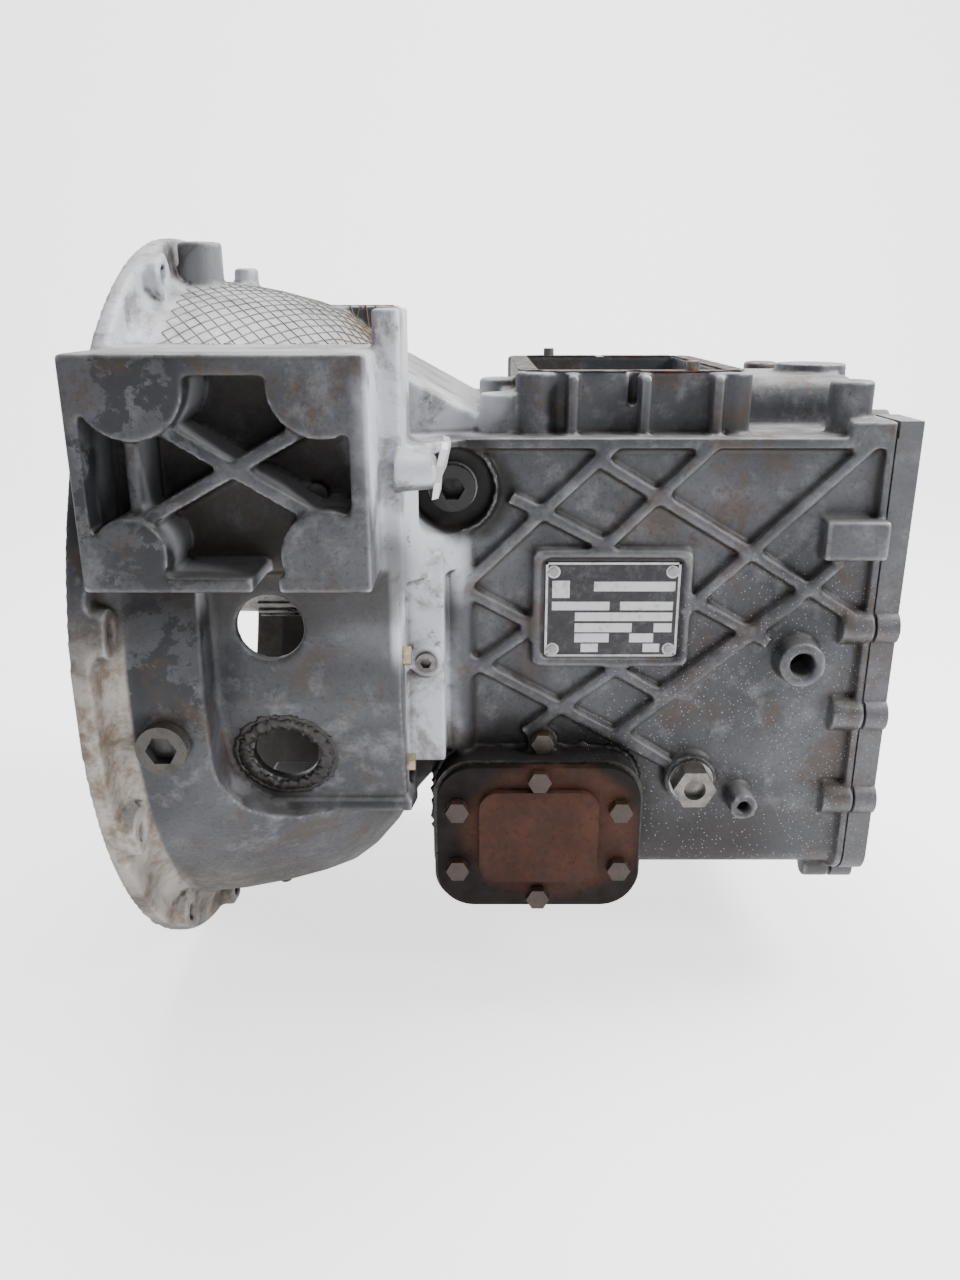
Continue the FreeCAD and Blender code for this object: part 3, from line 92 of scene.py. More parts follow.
class Shader:
    """A node material whose noise and masks are set out in metres of the object's own space."""

    def __init__(self, name, roughness=0.5, metallic=0.0, specular=0.5):
        self.material = bpy.data.materials.new(name)
        self.material.use_nodes = True
        self.tree = self.material.node_tree
        self.surface = self.tree.nodes["Principled BSDF"]
        self.surface.inputs["Roughness"].default_value = roughness
        self.surface.inputs["Metallic"].default_value = metallic
        self.surface.inputs["Specular IOR Level"].default_value = specular
        self.place = self.tree.nodes.new("ShaderNodeTexCoord").outputs["Object"]

    def link(self, source, socket):
        """Feed a socket from a node's output, or set it to a plain value."""
        if isinstance(source, bpy.types.NodeSocket):
            self.tree.links.new(source, socket)
        elif isinstance(source, (tuple, list)) and len(source) == 3 and len(socket.default_value) == 4:
            socket.default_value = (*source, 1.0)
        else:
            socket.default_value = source

    def math(self, kind, first, second=0.5, clamp=False):
        node = self.tree.nodes.new("ShaderNodeMath")
        node.operation = kind
        node.use_clamp = clamp
        self.link(first, node.inputs[0])
        self.link(second, node.inputs[1])
        return node.outputs[0]

    def noise(self, scale, detail=4.0, rough=0.55, distortion=0.0, place=None):
        node = self.tree.nodes.new("ShaderNodeTexNoise")
        self.link(place or self.place, node.inputs["Vector"])
        node.inputs["Scale"].default_value = scale
        node.inputs["Detail"].default_value = detail
        node.inputs["Roughness"].default_value = rough
        node.inputs["Distortion"].default_value = distortion
        return node.outputs["Fac"]

    def cells(self, scale, feature="F1"):
        node = self.tree.nodes.new("ShaderNodeTexVoronoi")
        node.feature = feature
        self.link(self.place, node.inputs["Vector"])
        node.inputs["Scale"].default_value = scale
        return node.outputs["Distance"]

    def steps(self, value, low, high, smooth=True):
        """A ramp from 0 at low to 1 at high."""
        node = self.tree.nodes.new("ShaderNodeMapRange")
        node.interpolation_type = "SMOOTHSTEP" if smooth else "LINEAR"
        self.link(value, node.inputs["Value"])
        node.inputs["From Min"].default_value = low
        node.inputs["From Max"].default_value = high
        return node.outputs["Result"]

    def mix(self, share, first, second):
        node = self.tree.nodes.new("ShaderNodeMix")
        node.data_type = "RGBA"
        self.link(share, node.inputs["Factor"])
        self.link(first, node.inputs[6])
        self.link(second, node.inputs[7])
        return node.outputs[2]

    def both(self, first, second):
        return self.math("MULTIPLY", first, second)

    def either(self, first, second):
        return self.math("MAXIMUM", first, second)

    def axis(self, number):
        """One coordinate of the place, in metres."""
        node = self.tree.nodes.new("ShaderNodeSeparateXYZ")
        self.link(self.place, node.inputs[0])
        return node.outputs[number]

    def shaken(self, amount, scale):
        """The place moved about by noise, so that masks have ragged edges."""
        noise = self.tree.nodes.new("ShaderNodeTexNoise")
        self.link(self.place, noise.inputs["Vector"])
        noise.inputs["Scale"].default_value = scale
        noise.inputs["Detail"].default_value = 5
        shift = self.tree.nodes.new("ShaderNodeVectorMath")
        shift.operation = "MULTIPLY_ADD"
        self.link(noise.outputs["Color"], shift.inputs[0])
        shift.inputs[1].default_value = (amount * 2,) * 3
        self.link(self.place, shift.inputs[2])
        return shift.outputs[0], amount

    def near(self, centre, reach, soft, shaken=None, squeeze=(1, 1, 1)):
        """1 inside a reach of a place, in metres, fading to 0 over the soft width."""
        moved, amount = shaken or (self.place, 0)
        offset = self.tree.nodes.new("ShaderNodeVectorMath")
        offset.operation = "SUBTRACT"
        self.link(moved, offset.inputs[0])
        offset.inputs[1].default_value = tuple(value * MM + amount for value in centre)
        scaled = self.tree.nodes.new("ShaderNodeVectorMath")
        scaled.operation = "MULTIPLY"
        self.link(offset.outputs[0], scaled.inputs[0])
        scaled.inputs[1].default_value = squeeze
        length = self.tree.nodes.new("ShaderNodeVectorMath")
        length.operation = "LENGTH"
        self.link(scaled.outputs[0], length.inputs[0])
        return self.steps(length.outputs["Value"], (reach + soft) * MM, reach * MM)

    def facing(self, direction, low=0.3, high=0.8):
        """1 where the surface faces a fixed direction of the object."""
        geometry = self.tree.nodes.new("ShaderNodeNewGeometry")
        dot = self.tree.nodes.new("ShaderNodeVectorMath")
        dot.operation = "DOT_PRODUCT"
        self.link(geometry.outputs["Normal"], dot.inputs[0])
        dot.inputs[1].default_value = Vector(direction).normalized()
        return self.steps(dot.outputs["Value"], low, high)

    def facing_axis(self):
        """1 on the inner walls, which face the line of the shafts."""
        geometry = self.tree.nodes.new("ShaderNodeNewGeometry")
        outward = self.tree.nodes.new("ShaderNodeVectorMath")
        outward.operation = "MULTIPLY"
        self.link(self.place, outward.inputs[0])
        outward.inputs[1].default_value = (0, 1, 1)
        unit = self.tree.nodes.new("ShaderNodeVectorMath")
        unit.operation = "NORMALIZE"
        self.link(outward.outputs[0], unit.inputs[0])
        dot = self.tree.nodes.new("ShaderNodeVectorMath")
        dot.operation = "DOT_PRODUCT"
        self.link(geometry.outputs["Normal"], dot.inputs[0])
        self.link(unit.outputs[0], dot.inputs[1])
        return self.steps(dot.outputs["Value"], -0.2, -0.6)

    def edges(self, low=0.52, high=0.6):
        """1 on the outward edges of a dense mesh."""
        geometry = self.tree.nodes.new("ShaderNodeNewGeometry")
        return self.steps(geometry.outputs["Pointiness"], low, high)

    def hollows(self, low=0.48, high=0.42):
        """1 in the inward corners of a dense mesh."""
        geometry = self.tree.nodes.new("ShaderNodeNewGeometry")
        return self.steps(geometry.outputs["Pointiness"], low, high)

    def bump(self, height, strength, distance):
        node = self.tree.nodes.new("ShaderNodeBump")
        node.inputs["Strength"].default_value = strength
        node.inputs["Distance"].default_value = distance
        self.link(height, node.inputs["Height"])
        self.link(node.outputs[0], self.surface.inputs["Normal"])

    def finish(self, colour, roughness=None):
        self.link(colour, self.surface.inputs["Base Color"])
        if roughness is not None:
            self.link(roughness, self.surface.inputs["Roughness"])
        return self.material


def cast_aluminium(name="cast_aluminium", dense=True, grey=0.0):
    """Weathered sand casting: grey skin, worn bright edges, slate paint, oil and brown dust, with painted
    highlights on the shoulder and tops and painted shade in the recesses, underneath and inside.

    Edges and hollows are picked out only on a dense mesh, as they spread over the faces of a coarse one.
    """
    sh = Shader(name, metallic=0.15, specular=0.4)
    wide = sh.noise(9, 5, 0.6)
    middle = sh.noise(48, 6, 0.68)
    fine = sh.noise(420, 5, 0.7)
    grain = sh.noise(1500, 3, 0.6)
    skin = sh.mix(sh.steps(wide, 0.36, 0.64), (0.058, 0.059, 0.068), (0.112, 0.114, 0.128))
    skin = sh.mix(sh.both(sh.steps(middle, 0.48, 0.72), 0.8), skin, (0.20, 0.20, 0.215))
    skin = sh.mix(sh.both(sh.steps(fine, 0.5, 0.7), 0.45), skin, (0.034, 0.032, 0.031))
    ragged = sh.shaken(0.012, 26)

    # slate paint left on the front of the mounting box, the flange rim and the bell beside the fork housing
    paint = sh.steps(sh.noise(34, 7, 0.7), 0.46, 0.52)
    paint_area = sh.near((20, -240, 150), 52, 30, ragged)
    paint_area = sh.either(paint_area, sh.near((35, -215, 10), 40, 12, ragged))
    paint_area = sh.either(paint_area, sh.near((50, -240, 75), 24, 12, ragged))
    skin = sh.mix(sh.both(sh.either(paint, 0.35), paint_area), skin, (0.034, 0.036, 0.043))

    # painted highlight, with some clean light metal, on the shoulder behind the box and on the tops; light tan
    # metal on the flange's rear face; lighter faces that look up, which is painted light
    bright = sh.near((166, -168, 70), 40, 22, ragged, (1, 1, 0.8))
    bright = sh.either(bright, sh.near((166, -90, 156), 46, 22, ragged))
    bright = sh.either(bright, sh.near((178, -148, -25), 17, 12, ragged, (1, 1, 0.35)))
    bright = sh.either(bright, sh.near((166, -175, 150), 60, 20, ragged, (2.2, 1, 1)))
    bright = sh.either(bright, sh.near((40, -90, 215), 70, 50, ragged))
    chipped = sh.steps(sh.noise(75, 7, 0.75), 0.60, 0.66)
    bright = sh.both(bright, sh.math("SUBTRACT", 1.0, sh.both(chipped, 0.7)))
    fork_face = sh.both(sh.steps(sh.axis(2), 0.067, 0.062), sh.steps(sh.axis(0), 0.162, 0.158))
    bright = sh.both(bright, sh.math("SUBTRACT", 1.0, sh.both(fork_face, 0.9)))
    skin = sh.mix(sh.both(bright, 0.88), skin, (0.66, 0.68, 0.74))
    on_flange = sh.both(sh.steps(sh.axis(0), 0.021, 0.0185), sh.steps(sh.axis(2), 0.07, 0.0))
    tan_area = sh.either(on_flange, sh.both(sh.near((24, -150, -165), 26, 22, ragged), 0.6))
    tan_noise = sh.steps(sh.noise(40, 6, 0.7), 0.4, 0.62)
    skin = sh.mix(sh.both(tan_area, 0.8), skin, sh.mix(tan_noise, (0.50, 0.455, 0.41), (0.22, 0.16, 0.11)))
    skin = sh.mix(sh.both(sh.near((28, -28, 234), 24, 8, ragged), 0.75), skin, (0.075, 0.075, 0.080))
    # painted light: faces that look up are made lighter
    up = sh.facing((0, 0, 1), 0.55, 0.9)
    skin = sh.mix(sh.both(up, 0.5), skin, (0.34, 0.335, 0.32))
    # painted light: faces turned up and towards the rear are made lighter in patches
    painted_light_upper_sides = sh.both(sh.facing((0.55, -0.2, 0.8), 0.62, 0.9), sh.steps(middle, 0.35, 0.6))
    skin = sh.mix(sh.both(painted_light_upper_sides, 0.55), skin, (0.36, 0.36, 0.37))

    # brown dust and oil, thickest under and beside the ribs and round the openings; the near-black marks round
    # the power take-off pad, in the plug recess and in the lower window are oil and painted shade, and the
    # bottom is darker in patches
    brown = sh.steps(sh.noise(21, 7, 0.72, 0.4), 0.50, 0.64)
    skin = sh.mix(sh.both(brown, 0.62), skin, (0.075, 0.048, 0.030))
    # oil and painted shade: the power take-off pad, the plug recess, the lower window and the recessed side
    # beside the pad go near black where this is mixed in below
    oil_and_painted_shade = sh.near((247, -150, -112), 66, 20, ragged, (0.92, 1, 1.15))
    oil_and_painted_shade = sh.either(oil_and_painted_shade, sh.near((197, -122, 98), 27, 12, ragged))
    oil_and_painted_shade = sh.either(oil_and_painted_shade, sh.near((94, -180, -52), 26, 10, ragged))
    oil_and_painted_shade = sh.either(oil_and_painted_shade, sh.near((347, -140, -92), 12, 16, ragged))
    oil_and_painted_shade = sh.either(oil_and_painted_shade, sh.near((205, -122, -125), 30, 14, ragged))
    # darker in patches towards the bottom
    low = sh.steps(sh.axis(2), -0.085, -0.16)
    low_patches = sh.both(low, sh.steps(sh.noise(18, 6, 0.7), 0.42, 0.6))
    skin = sh.mix(sh.both(low_patches, 0.55), skin, (0.045, 0.035, 0.028))

    # shade painted on by place: dark sump, below the box, the near-black oil and shade round the pad, recess
    # and window, pocket floor, inward corners, undersides and inside of the bell; light painted on the pocket
    # walls
    sump = sh.both(sh.steps(sh.axis(2), -0.095, -0.135), sh.steps(sh.axis(0), 0.15, 0.2))
    sump = sh.both(sump, sh.steps(sh.axis(0), 0.425, 0.385))
    skin = sh.mix(sh.both(sump, 0.8), skin, (0.022, 0.019, 0.018))
    below_box = sh.near((108, -190, 62), 34, 26, ragged, (0.5, 1, 1.5))
    skin = sh.mix(sh.both(below_box, 0.7), skin, (0.030, 0.026, 0.024))
    skin = sh.mix(sh.both(oil_and_painted_shade, 0.93), skin, (0.010, 0.008, 0.007))
    pocket = sh.near((82, -204, 120), 66, 20, ragged, (1, 2.6, 1))
    pocket_floor = sh.both(pocket, sh.facing((0, -1, 0), 0.5, 0.9))
    pocket_floor = sh.both(pocket_floor, sh.steps(sh.noise(30, 6, 0.7), 0.2, 0.55))
    skin = sh.mix(sh.both(pocket_floor, 0.8), skin, (0.034, 0.027, 0.022))
    # painted light: the pocket's walls that face the rear and up are made lighter
    pocket_wall = sh.both(pocket, sh.either(sh.facing((1, 0, 0.1), 0.3, 0.7), sh.facing((0.3, 0, 1), 0.4, 0.8)))
    skin = sh.mix(sh.both(pocket_wall, 0.7), skin, (0.46, 0.47, 0.50))
    # painted shade: inward corners made darker on a dense mesh
    if dense:
        skin = sh.mix(sh.both(sh.hollows(0.494, 0.45), 0.85), skin, (0.020, 0.014, 0.010))
    under = sh.facing((-0.35, 0, -1), 0.35, 0.75)
    skin = sh.mix(sh.both(under, 0.75), skin, (0.026, 0.019, 0.015))
    inside = sh.both(sh.facing_axis(), sh.steps(sh.axis(0), 0.180, 0.176))
    skin = sh.mix(sh.both(inside, 0.85), skin, (0.030, 0.024, 0.020))

    # white specks low on the rear of the side, and worn edges everywhere
    specks = sh.both(sh.steps(sh.cells(420), 0.16, 0.1), sh.near((395, -125, -60), 95, 45, ragged))
    skin = sh.mix(sh.both(specks, 0.8), skin, (0.55, 0.55, 0.56))
    if dense:
        worn = sh.both(sh.edges(), sh.steps(sh.noise(90, 5, 0.7), 0.32, 0.55))
        skin = sh.mix(sh.both(worn, 0.85), skin, (0.50, 0.50, 0.52))
    if grey:
        skin = sh.mix(grey, skin, (0.16, 0.16, 0.17))
    rough = sh.steps(sh.math("ADD", sh.both(middle, 0.6), sh.both(fine, 0.4)), 0.05, 1.0, False)
    sh.bump(sh.math("ADD", sh.both(fine, 0.7), sh.both(grain, 0.3)), 0.55, 0.0006)
    return sh.finish(skin, rough)


def lattice_metal(name="lattice_metal"):
    """The dome's raised lines: grey with dust, and brown towards the rear."""
    sh = Shader(name, metallic=0.1, roughness=0.7)
    grey = sh.mix(sh.steps(sh.noise(60, 5, 0.7), 0.35, 0.65), (0.14, 0.14, 0.13), (0.36, 0.36, 0.33))
    rear = sh.steps(sh.math("ADD", sh.axis(0), sh.both(sh.noise(40, 4), 0.03)), 0.115, 0.155)
    sh.bump(sh.noise(900, 4, 0.6), 0.4, 0.0003)
    return sh.finish(sh.mix(rear, grey, (0.20, 0.13, 0.065)))


def plain_metal(name, colour, dirt, roughness=0.38, metallic=0.85, dirt_share=0.6):
    """Turned or forged steel with oily dirt in patches."""
    sh = Shader(name, roughness=roughness, metallic=metallic)
    patch = sh.steps(sh.noise(90, 6, 0.7), 0.42, 0.66)
    fine = sh.noise(900, 4, 0.6)
    skin = sh.mix(sh.both(patch, dirt_share), colour, dirt)
    skin = sh.mix(sh.both(sh.steps(fine, 0.45, 0.75), 0.35), skin, tuple(value * 0.5 for value in colour))
    sh.bump(fine, 0.25, 0.0003)
    return sh.finish(skin, sh.steps(sh.noise(160, 4, 0.6), 0.0, 1.35, False))


def rusted_cover(name="rusted_cover"):
    """Pressed steel cover, brown with rust and black oil round its edge."""
    sh = Shader(name, metallic=0.1, specular=0.25)
    ragged = sh.shaken(0.008, 40)
    rust = sh.mix(sh.steps(sh.noise(35, 7, 0.7), 0.35, 0.65), (0.044, 0.017, 0.011), (0.088, 0.036, 0.022))
    rust = sh.mix(sh.both(sh.steps(sh.noise(210, 6, 0.7), 0.5, 0.7), 0.6), rust, (0.020, 0.011, 0.008))
    middle = sh.near((256, -156, -119), 44, 16, ragged, (0.9, 1, 1.1))
    oily = sh.mix(middle, (0.008, 0.005, 0.004), rust)
    scratch = sh.both(sh.steps(sh.noise(600, 4, 0.8), 0.66, 0.72), 0.35)
    oily = sh.mix(scratch, oily, (0.22, 0.14, 0.10))
    sh.bump(sh.noise(500, 5, 0.7), 0.5, 0.0004)
    return sh.finish(oily, sh.steps(sh.noise(70, 5, 0.6), -0.6, 1.0, False))


def oily_rubber(name, colour=(0.02, 0.018, 0.016)):
    """Black sealant, gasket paper or rubber with oil on it."""
    sh = Shader(name, specular=0.5)
    lighter = tuple(value * 3 + 0.01 for value in colour)
    skin = sh.mix(sh.steps(sh.noise(200, 6, 0.7), 0.45, 0.7), colour, lighter)
    sh.bump(sh.noise(800, 4, 0.7), 0.5, 0.0003)
    return sh.finish(skin, sh.steps(sh.noise(120, 4, 0.6), 0.1, 1.1, False))


def patchy_gasket(name="patchy_gasket"):
    """Gasket left on the rim: dull grey-brown, with red sealant in places."""
    sh = Shader(name, specular=0.3, roughness=0.75)
    red = sh.steps(sh.noise(26, 5, 0.6), 0.6, 0.66)
    dull = sh.mix(sh.steps(sh.noise(120, 5, 0.7), 0.4, 0.6), (0.16, 0.15, 0.14), (0.045, 0.035, 0.03))
    sh.bump(sh.noise(700, 4, 0.7), 0.5, 0.0003)
    return sh.finish(sh.mix(red, dull, (0.17, 0.035, 0.022)))


def printed_silver(name="printed_silver"):
    """The bare aluminium fields of the rating plate, scuffed and a little dirty."""
    sh = Shader(name, metallic=0.35, roughness=0.45)
    dirt = sh.both(sh.steps(sh.noise(160, 6, 0.7), 0.5, 0.72), 0.55)
    sh.bump(sh.noise(1200, 3, 0.6), 0.2, 0.0002)
    return sh.finish(sh.mix(dirt, (0.62, 0.62, 0.64), (0.16, 0.14, 0.12)))


# ---------------------------------------------------------------- mesh helpers

def as_piece(mesh, name, material, body="root"):
    """Put a finished mesh in the scene as a piece that rides on a body."""
    piece = bpy.data.objects.new(name, mesh)
    bpy.context.scene.collection.objects.link(piece)
    piece.data.materials.clear()
    piece.data.materials.append(material)
    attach(piece, body)
    return piece


def apply_modifiers(piece):
    """Turn the piece's modifiers into its mesh."""
    graph = bpy.context.evaluated_depsgraph_get()
    graph.update()
    mesh = bpy.data.meshes.new_from_object(piece.evaluated_get(graph))
    piece.modifiers.clear()
    piece.data = mesh


def soft_casting(node, name, material, voxel, passes, faces):
    """A casting with rounded edges, remade from a CAD node at a fine voxel."""
    mesh = bpy.data.objects[node].data.copy()
    piece = as_piece(mesh, name, material, "root")
    remesh = piece.modifiers.new("remesh", "REMESH")
    remesh.mode = "VOXEL"
    remesh.voxel_size = voxel
    soften = piece.modifiers.new("soften", "SMOOTH")
    soften.factor = 0.5
    soften.iterations = passes
    apply_modifiers(piece)
    whole = len(piece.data.polygons) * 2
    thin = piece.modifiers.new("thin", "DECIMATE")
    thin.ratio = min(1.0, faces / whole)
    apply_modifiers(piece)
    for face in piece.data.polygons:
        face.use_smooth = True
    piece.data.materials.clear()
    piece.data.materials.append(material)
    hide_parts(node)
    return piece


# ---------------------------------------------------------------- pieces

def surface_of(node):
    """A ray-casting tree of a CAD node's mesh."""
    source = bpy.data.objects[node].data
    corners = [vertex.co.copy() for vertex in source.vertices]
    return BVHTree.FromPolygons(corners, [list(face.vertices) for face in source.polygons])


def ridge(mesh, points, normals, half_width, height):
    """A thin raised line along a run of surface points."""
    rows = []
    for number, (point, normal) in enumerate(zip(points, normals)):
        before = points[max(number - 1, 0)]
        after = points[min(number + 1, len(points) - 1)]
        side = (after - before).cross(normal).normalized() * half_width
        base = point - normal * height * 0.6
        rows.append([mesh.verts.new(base - side), mesh.verts.new(point + normal * height - side * 0.35),
                     mesh.verts.new(point + normal * height + side * 0.35), mesh.verts.new(base + side)])
    for first, second in zip(rows, rows[1:]):
        for corner in range(4):
            after = (corner + 1) % 4
            mesh.faces.new((first[corner], first[after], second[after], second[corner]))
    mesh.faces.new(reversed(rows[0]))
    mesh.faces.new(rows[-1])


def dome_lattice(material):
    """Fine diamond lattice of raised lines cast on top of the bell."""
    tree = surface_of("main_housing")
    mesh = bmesh.new()
    start_x, end_x, from_angle, to_angle = 24, 150, 42, 140
    pitch, lean, samples = 3.4, 0.17, 60
    half_width, height = 0.42 * MM, 0.6 * MM
    spare_angle = 40
    dome_least, dome_most = 0.160, 0.2195
    for sign in (-1, 1):
        angle = from_angle - spare_angle
        while angle < to_angle + spare_angle:
            run, facing = [], []
            for number in range(samples + 1):
                x = start_x + (end_x - start_x) * number / samples
                turn = math.radians(angle + sign * lean * (x - start_x) * 2)
                inward = Vector((0, -math.cos(turn), -math.sin(turn)))
                inside = from_angle < math.degrees(turn) < to_angle
                hit = tree.ray_cast(Vector((x * MM, 0, 0)) - inward * 0.3, inward, 0.2)
                on_dome = inside and hit[0] is not None
                on_dome = on_dome and dome_least < Vector(hit[0][1:]).length < dome_most
                if on_dome and hit[1].dot(-inward) > 0.55:
                    run.append(hit[0])
                    facing.append(hit[1])
                elif run:
                    if len(run) > 2:
                        ridge(mesh, run, facing, half_width, height)
                    run, facing = [], []
            if len(run) > 2:
                ridge(mesh, run, facing, half_width, height)
            angle += pitch
    data = bpy.data.meshes.new("dome_lattice")
    mesh.to_mesh(data)
    mesh.free()
    return as_piece(data, "dome_lattice", material)


def plate_fields(material):
    """Border, corner rings and blank fields of the rating plate, a little proud of its face."""
    left, right, foot, top = 250.0, 333.0, -8.0, 53.0
    front, back = -127.15, -126.9
    width, height = right - left, top - foot
    fields = [(0.36, 0.965, 0.20, 0.30), (0.05, 0.48, 0.41, 0.50), (0.56, 0.955, 0.41, 0.50),
              (0.225, 0.955, 0.525, 0.615), (0.225, 0.655, 0.64, 0.735), (0.82, 0.955, 0.64, 0.735),
              (0.225, 0.485, 0.75, 0.845), (0.64, 0.82, 0.75, 0.845), (0.275, 0.405, 0.86, 0.95),
              (0.745, 0.87, 0.86, 0.95), (0.05, 0.18, 0.19, 0.37)]
    border = 0.022
    fields += [(0.0, 1.0, 0.0, border), (0.0, 1.0, 1 - border, 1.0), (0.0, border * 0.8, 0.0, 1.0),
               (1 - border * 0.8, 1.0, 0.0, 1.0)]
    mesh = bmesh.new()
    for start, end, high, low in fields:
        made = bmesh.ops.create_cube(mesh, size=1)["verts"]
        size = Vector(((end - start) * width, back - front, (low - high) * height)) * MM
        across = left + (start + end) / 2 * width
        up = top - (high + low) / 2 * height
        middle = Vector((across, (front + back) / 2, up)) * MM
        for vertex in made:
            vertex.co = Vector(part * along for part, along in zip(vertex.co, size)) + middle
    for x, z in ((255, -3), (328, -3), (255, 47), (328, 47)):
        made = bmesh.ops.create_cone(mesh, cap_ends=True, segments=24, radius1=4.0 * MM, radius2=4.0 * MM,
                                     depth=(back - front) * MM)["verts"]
        bmesh.ops.rotate(mesh, verts=made, matrix=Matrix.Rotation(math.pi / 2, 3, "X"))
        bmesh.ops.translate(mesh, verts=made, vec=Vector((x, (front + back) / 2, z)) * MM)
    data = bpy.data.meshes.new("plate_fields")
    mesh.to_mesh(data)
    mesh.free()
    return as_piece(data, "plate_fields", material)


def bead(name, path, normal, width, height, material, lumps=0.35, closed=True):
    """A rough bead of old sealant pressed out along a path, standing on a surface."""
    sections = 7
    mesh = bmesh.new()
    rows = []
    count = len(path)
    for number, point in enumerate(path):
        after = path[(number + 1) % count] if closed else path[min(number + 1, count - 1)]
        before = path[number - 1] if closed else path[max(number - 1, 0)]
        side = (after - before).cross(normal).normalized()
        here = width * (1 + lumps * random.uniform(-1, 1))
        tall = height * (1 + lumps * random.uniform(-1, 1))
        shift = side * width * lumps * random.uniform(-0.5, 0.5)
        row = []
        for part in range(sections):
            turn = math.pi * part / (sections - 1)
            rough = 1 + lumps * 0.6 * random.uniform(-1, 1)
            row.append(mesh.verts.new(point + shift + side * math.cos(turn) * here / 2 * rough
                                      + normal * (math.sin(turn) * tall * rough - 0.4 * MM)))
        rows.append(row)
    last = count if closed else count - 1
    for number in range(last):
        first, second = rows[number], rows[(number + 1) % count]
        for part in range(sections):
            after = (part + 1) % sections
            mesh.faces.new((first[part], first[after], second[after], second[part]))
    if not closed:
        mesh.faces.new(rows[0])
        mesh.faces.new(reversed(rows[-1]))
    bmesh.ops.recalc_face_normals(mesh, faces=mesh.faces)
    data = bpy.data.meshes.new(name)
    mesh.to_mesh(data)
    mesh.free()
    for face in data.polygons:
        face.use_smooth = True
    return as_piece(data, name, material)


def window_sealant(material):
    """Ring of old sealant round the lower window, on the sloping face of the fork housing."""
    top, low = Vector((0, -190, -15)), Vector((0, -166, -92))
    along = (low - top).normalized()
    normal = along.cross(Vector((1, 0, 0))).normalized()
    normal = normal if normal.y < 0 else -normal
    share = (-52 - top.z) / (low.z - top.z)
    centre = top + (low - top) * share + Vector((94, 0, 0))
    for name, reach, width, height in (
            ("window_sealant", 24.5, 7.5, 1.6),
            ("window_sealant_edge", 29.5, 3.5, 1.0)):
        path = []
        for number in range(110):
            turn = 2 * math.pi * number / 110
            outward = Vector((1, 0, 0)) * math.cos(turn) + along * math.sin(turn)
            path.append((centre + outward * reach) * MM)
        bead(name, path, normal, width * MM, height * MM, material)


def pad_sealant(material):
    """Old sealant pressed out round the power take-off pad, where it meets the case."""
    half_length, half_height, corner = 66.5, 51.0, 24.0
    centre = Vector((247, -122.2, -123.5))
    path = []
    for across, up, start in ((1, 1, 0), (-1, 1, 90), (-1, -1, 180), (1, -1, 270)):
        middle = Vector((across * (half_length - corner), 0, up * (half_height - corner)))
        for step in range(19):
            turn = math.radians(start + 90 * step / 18)
            path.append((centre + middle + Vector((math.cos(turn), 0, math.sin(turn))) * corner) * MM)
    full = []
    for first, second in zip(path, path[1:] + path[:1]):
        pieces = max(1, round((second - first).length / (3 * MM)))
        full += [first + (second - first) * part / pieces for part in range(pieces)]
    upper = [point for point in full if point.z > -0.135]
    start = max(range(len(upper)), key=lambda number: (upper[number] - upper[number - 1]).length)
    run = upper[start:] + upper[:start]
    bead("pad_sealant", run, Vector((0, -1, 0)), 6.5 * MM, 2.4 * MM, material, 0.3, closed=False)


def torn_lug(material):
    """Bright torn metal at the end of the broken lug."""
    outline = [(-11, 12), (-3, 15), (5, 13), (9, 17), (12, 9), (8, 1), (10, -7), (3, -12), (-4, -10), (-9, -15),
               (-12, -6), (-9, 3)]
    mesh = bmesh.new()
    centre = Vector((189, -193, 120))
    front, back = [], []
    for across, up in outline:
        bend = random.uniform(-1.2, 1.2)
        front.append(mesh.verts.new((centre + Vector((bend - 1.6 + up * 0.22, across * 0.75, up))) * MM))
        back.append(mesh.verts.new((centre + Vector((bend + 1.8 + up * 0.22, across * 0.7, up * 0.95))) * MM))
    mesh.faces.new(front)
    mesh.faces.new(reversed(back))
    for number in range(len(outline)):
        after = (number + 1) % len(outline)
        mesh.faces.new((front[number], back[number], back[after], front[after]))
    bmesh.ops.recalc_face_normals(mesh, faces=mesh.faces)
    data = bpy.data.meshes.new("torn_lug")
    mesh.to_mesh(data)
    mesh.free()
    return as_piece(data, "torn_lug", material)


def dress(node, material, bevel=0.0, segments=2, angle=35):
    """Give a CAD node its material and, where wanted, softened edges."""
    piece = bpy.data.objects[node]
    for number in range(len(piece.material_slots)):
        piece.material_slots[number].link = "OBJECT"
        piece.material_slots[number].material = material
    if not piece.material_slots:
        piece.data.materials.append(material)
    if bevel:
        soften = piece.modifiers.new("softened_edges", "BEVEL")
        soften.width = bevel
        soften.segments = segments
        soften.limit_method = "ANGLE"
        soften.angle_limit = math.radians(angle)
        soften.harden_normals = True


# ---------------------------------------------------------------- floor and light

def seen_or_lit(tree, seen, lit, socket):
    """Feed a strength that is one value to the camera's rays and another as light on the gearbox."""
    path = tree.nodes.new("ShaderNodeLightPath")
    node = tree.nodes.new("ShaderNodeMath")
    node.operation = "MULTIPLY_ADD"
    tree.links.new(path.outputs["Is Camera Ray"], node.inputs[0])
    node.inputs[1].default_value = seen - lit
    node.inputs[2].default_value = lit
    tree.links.new(node.outputs[0], socket)


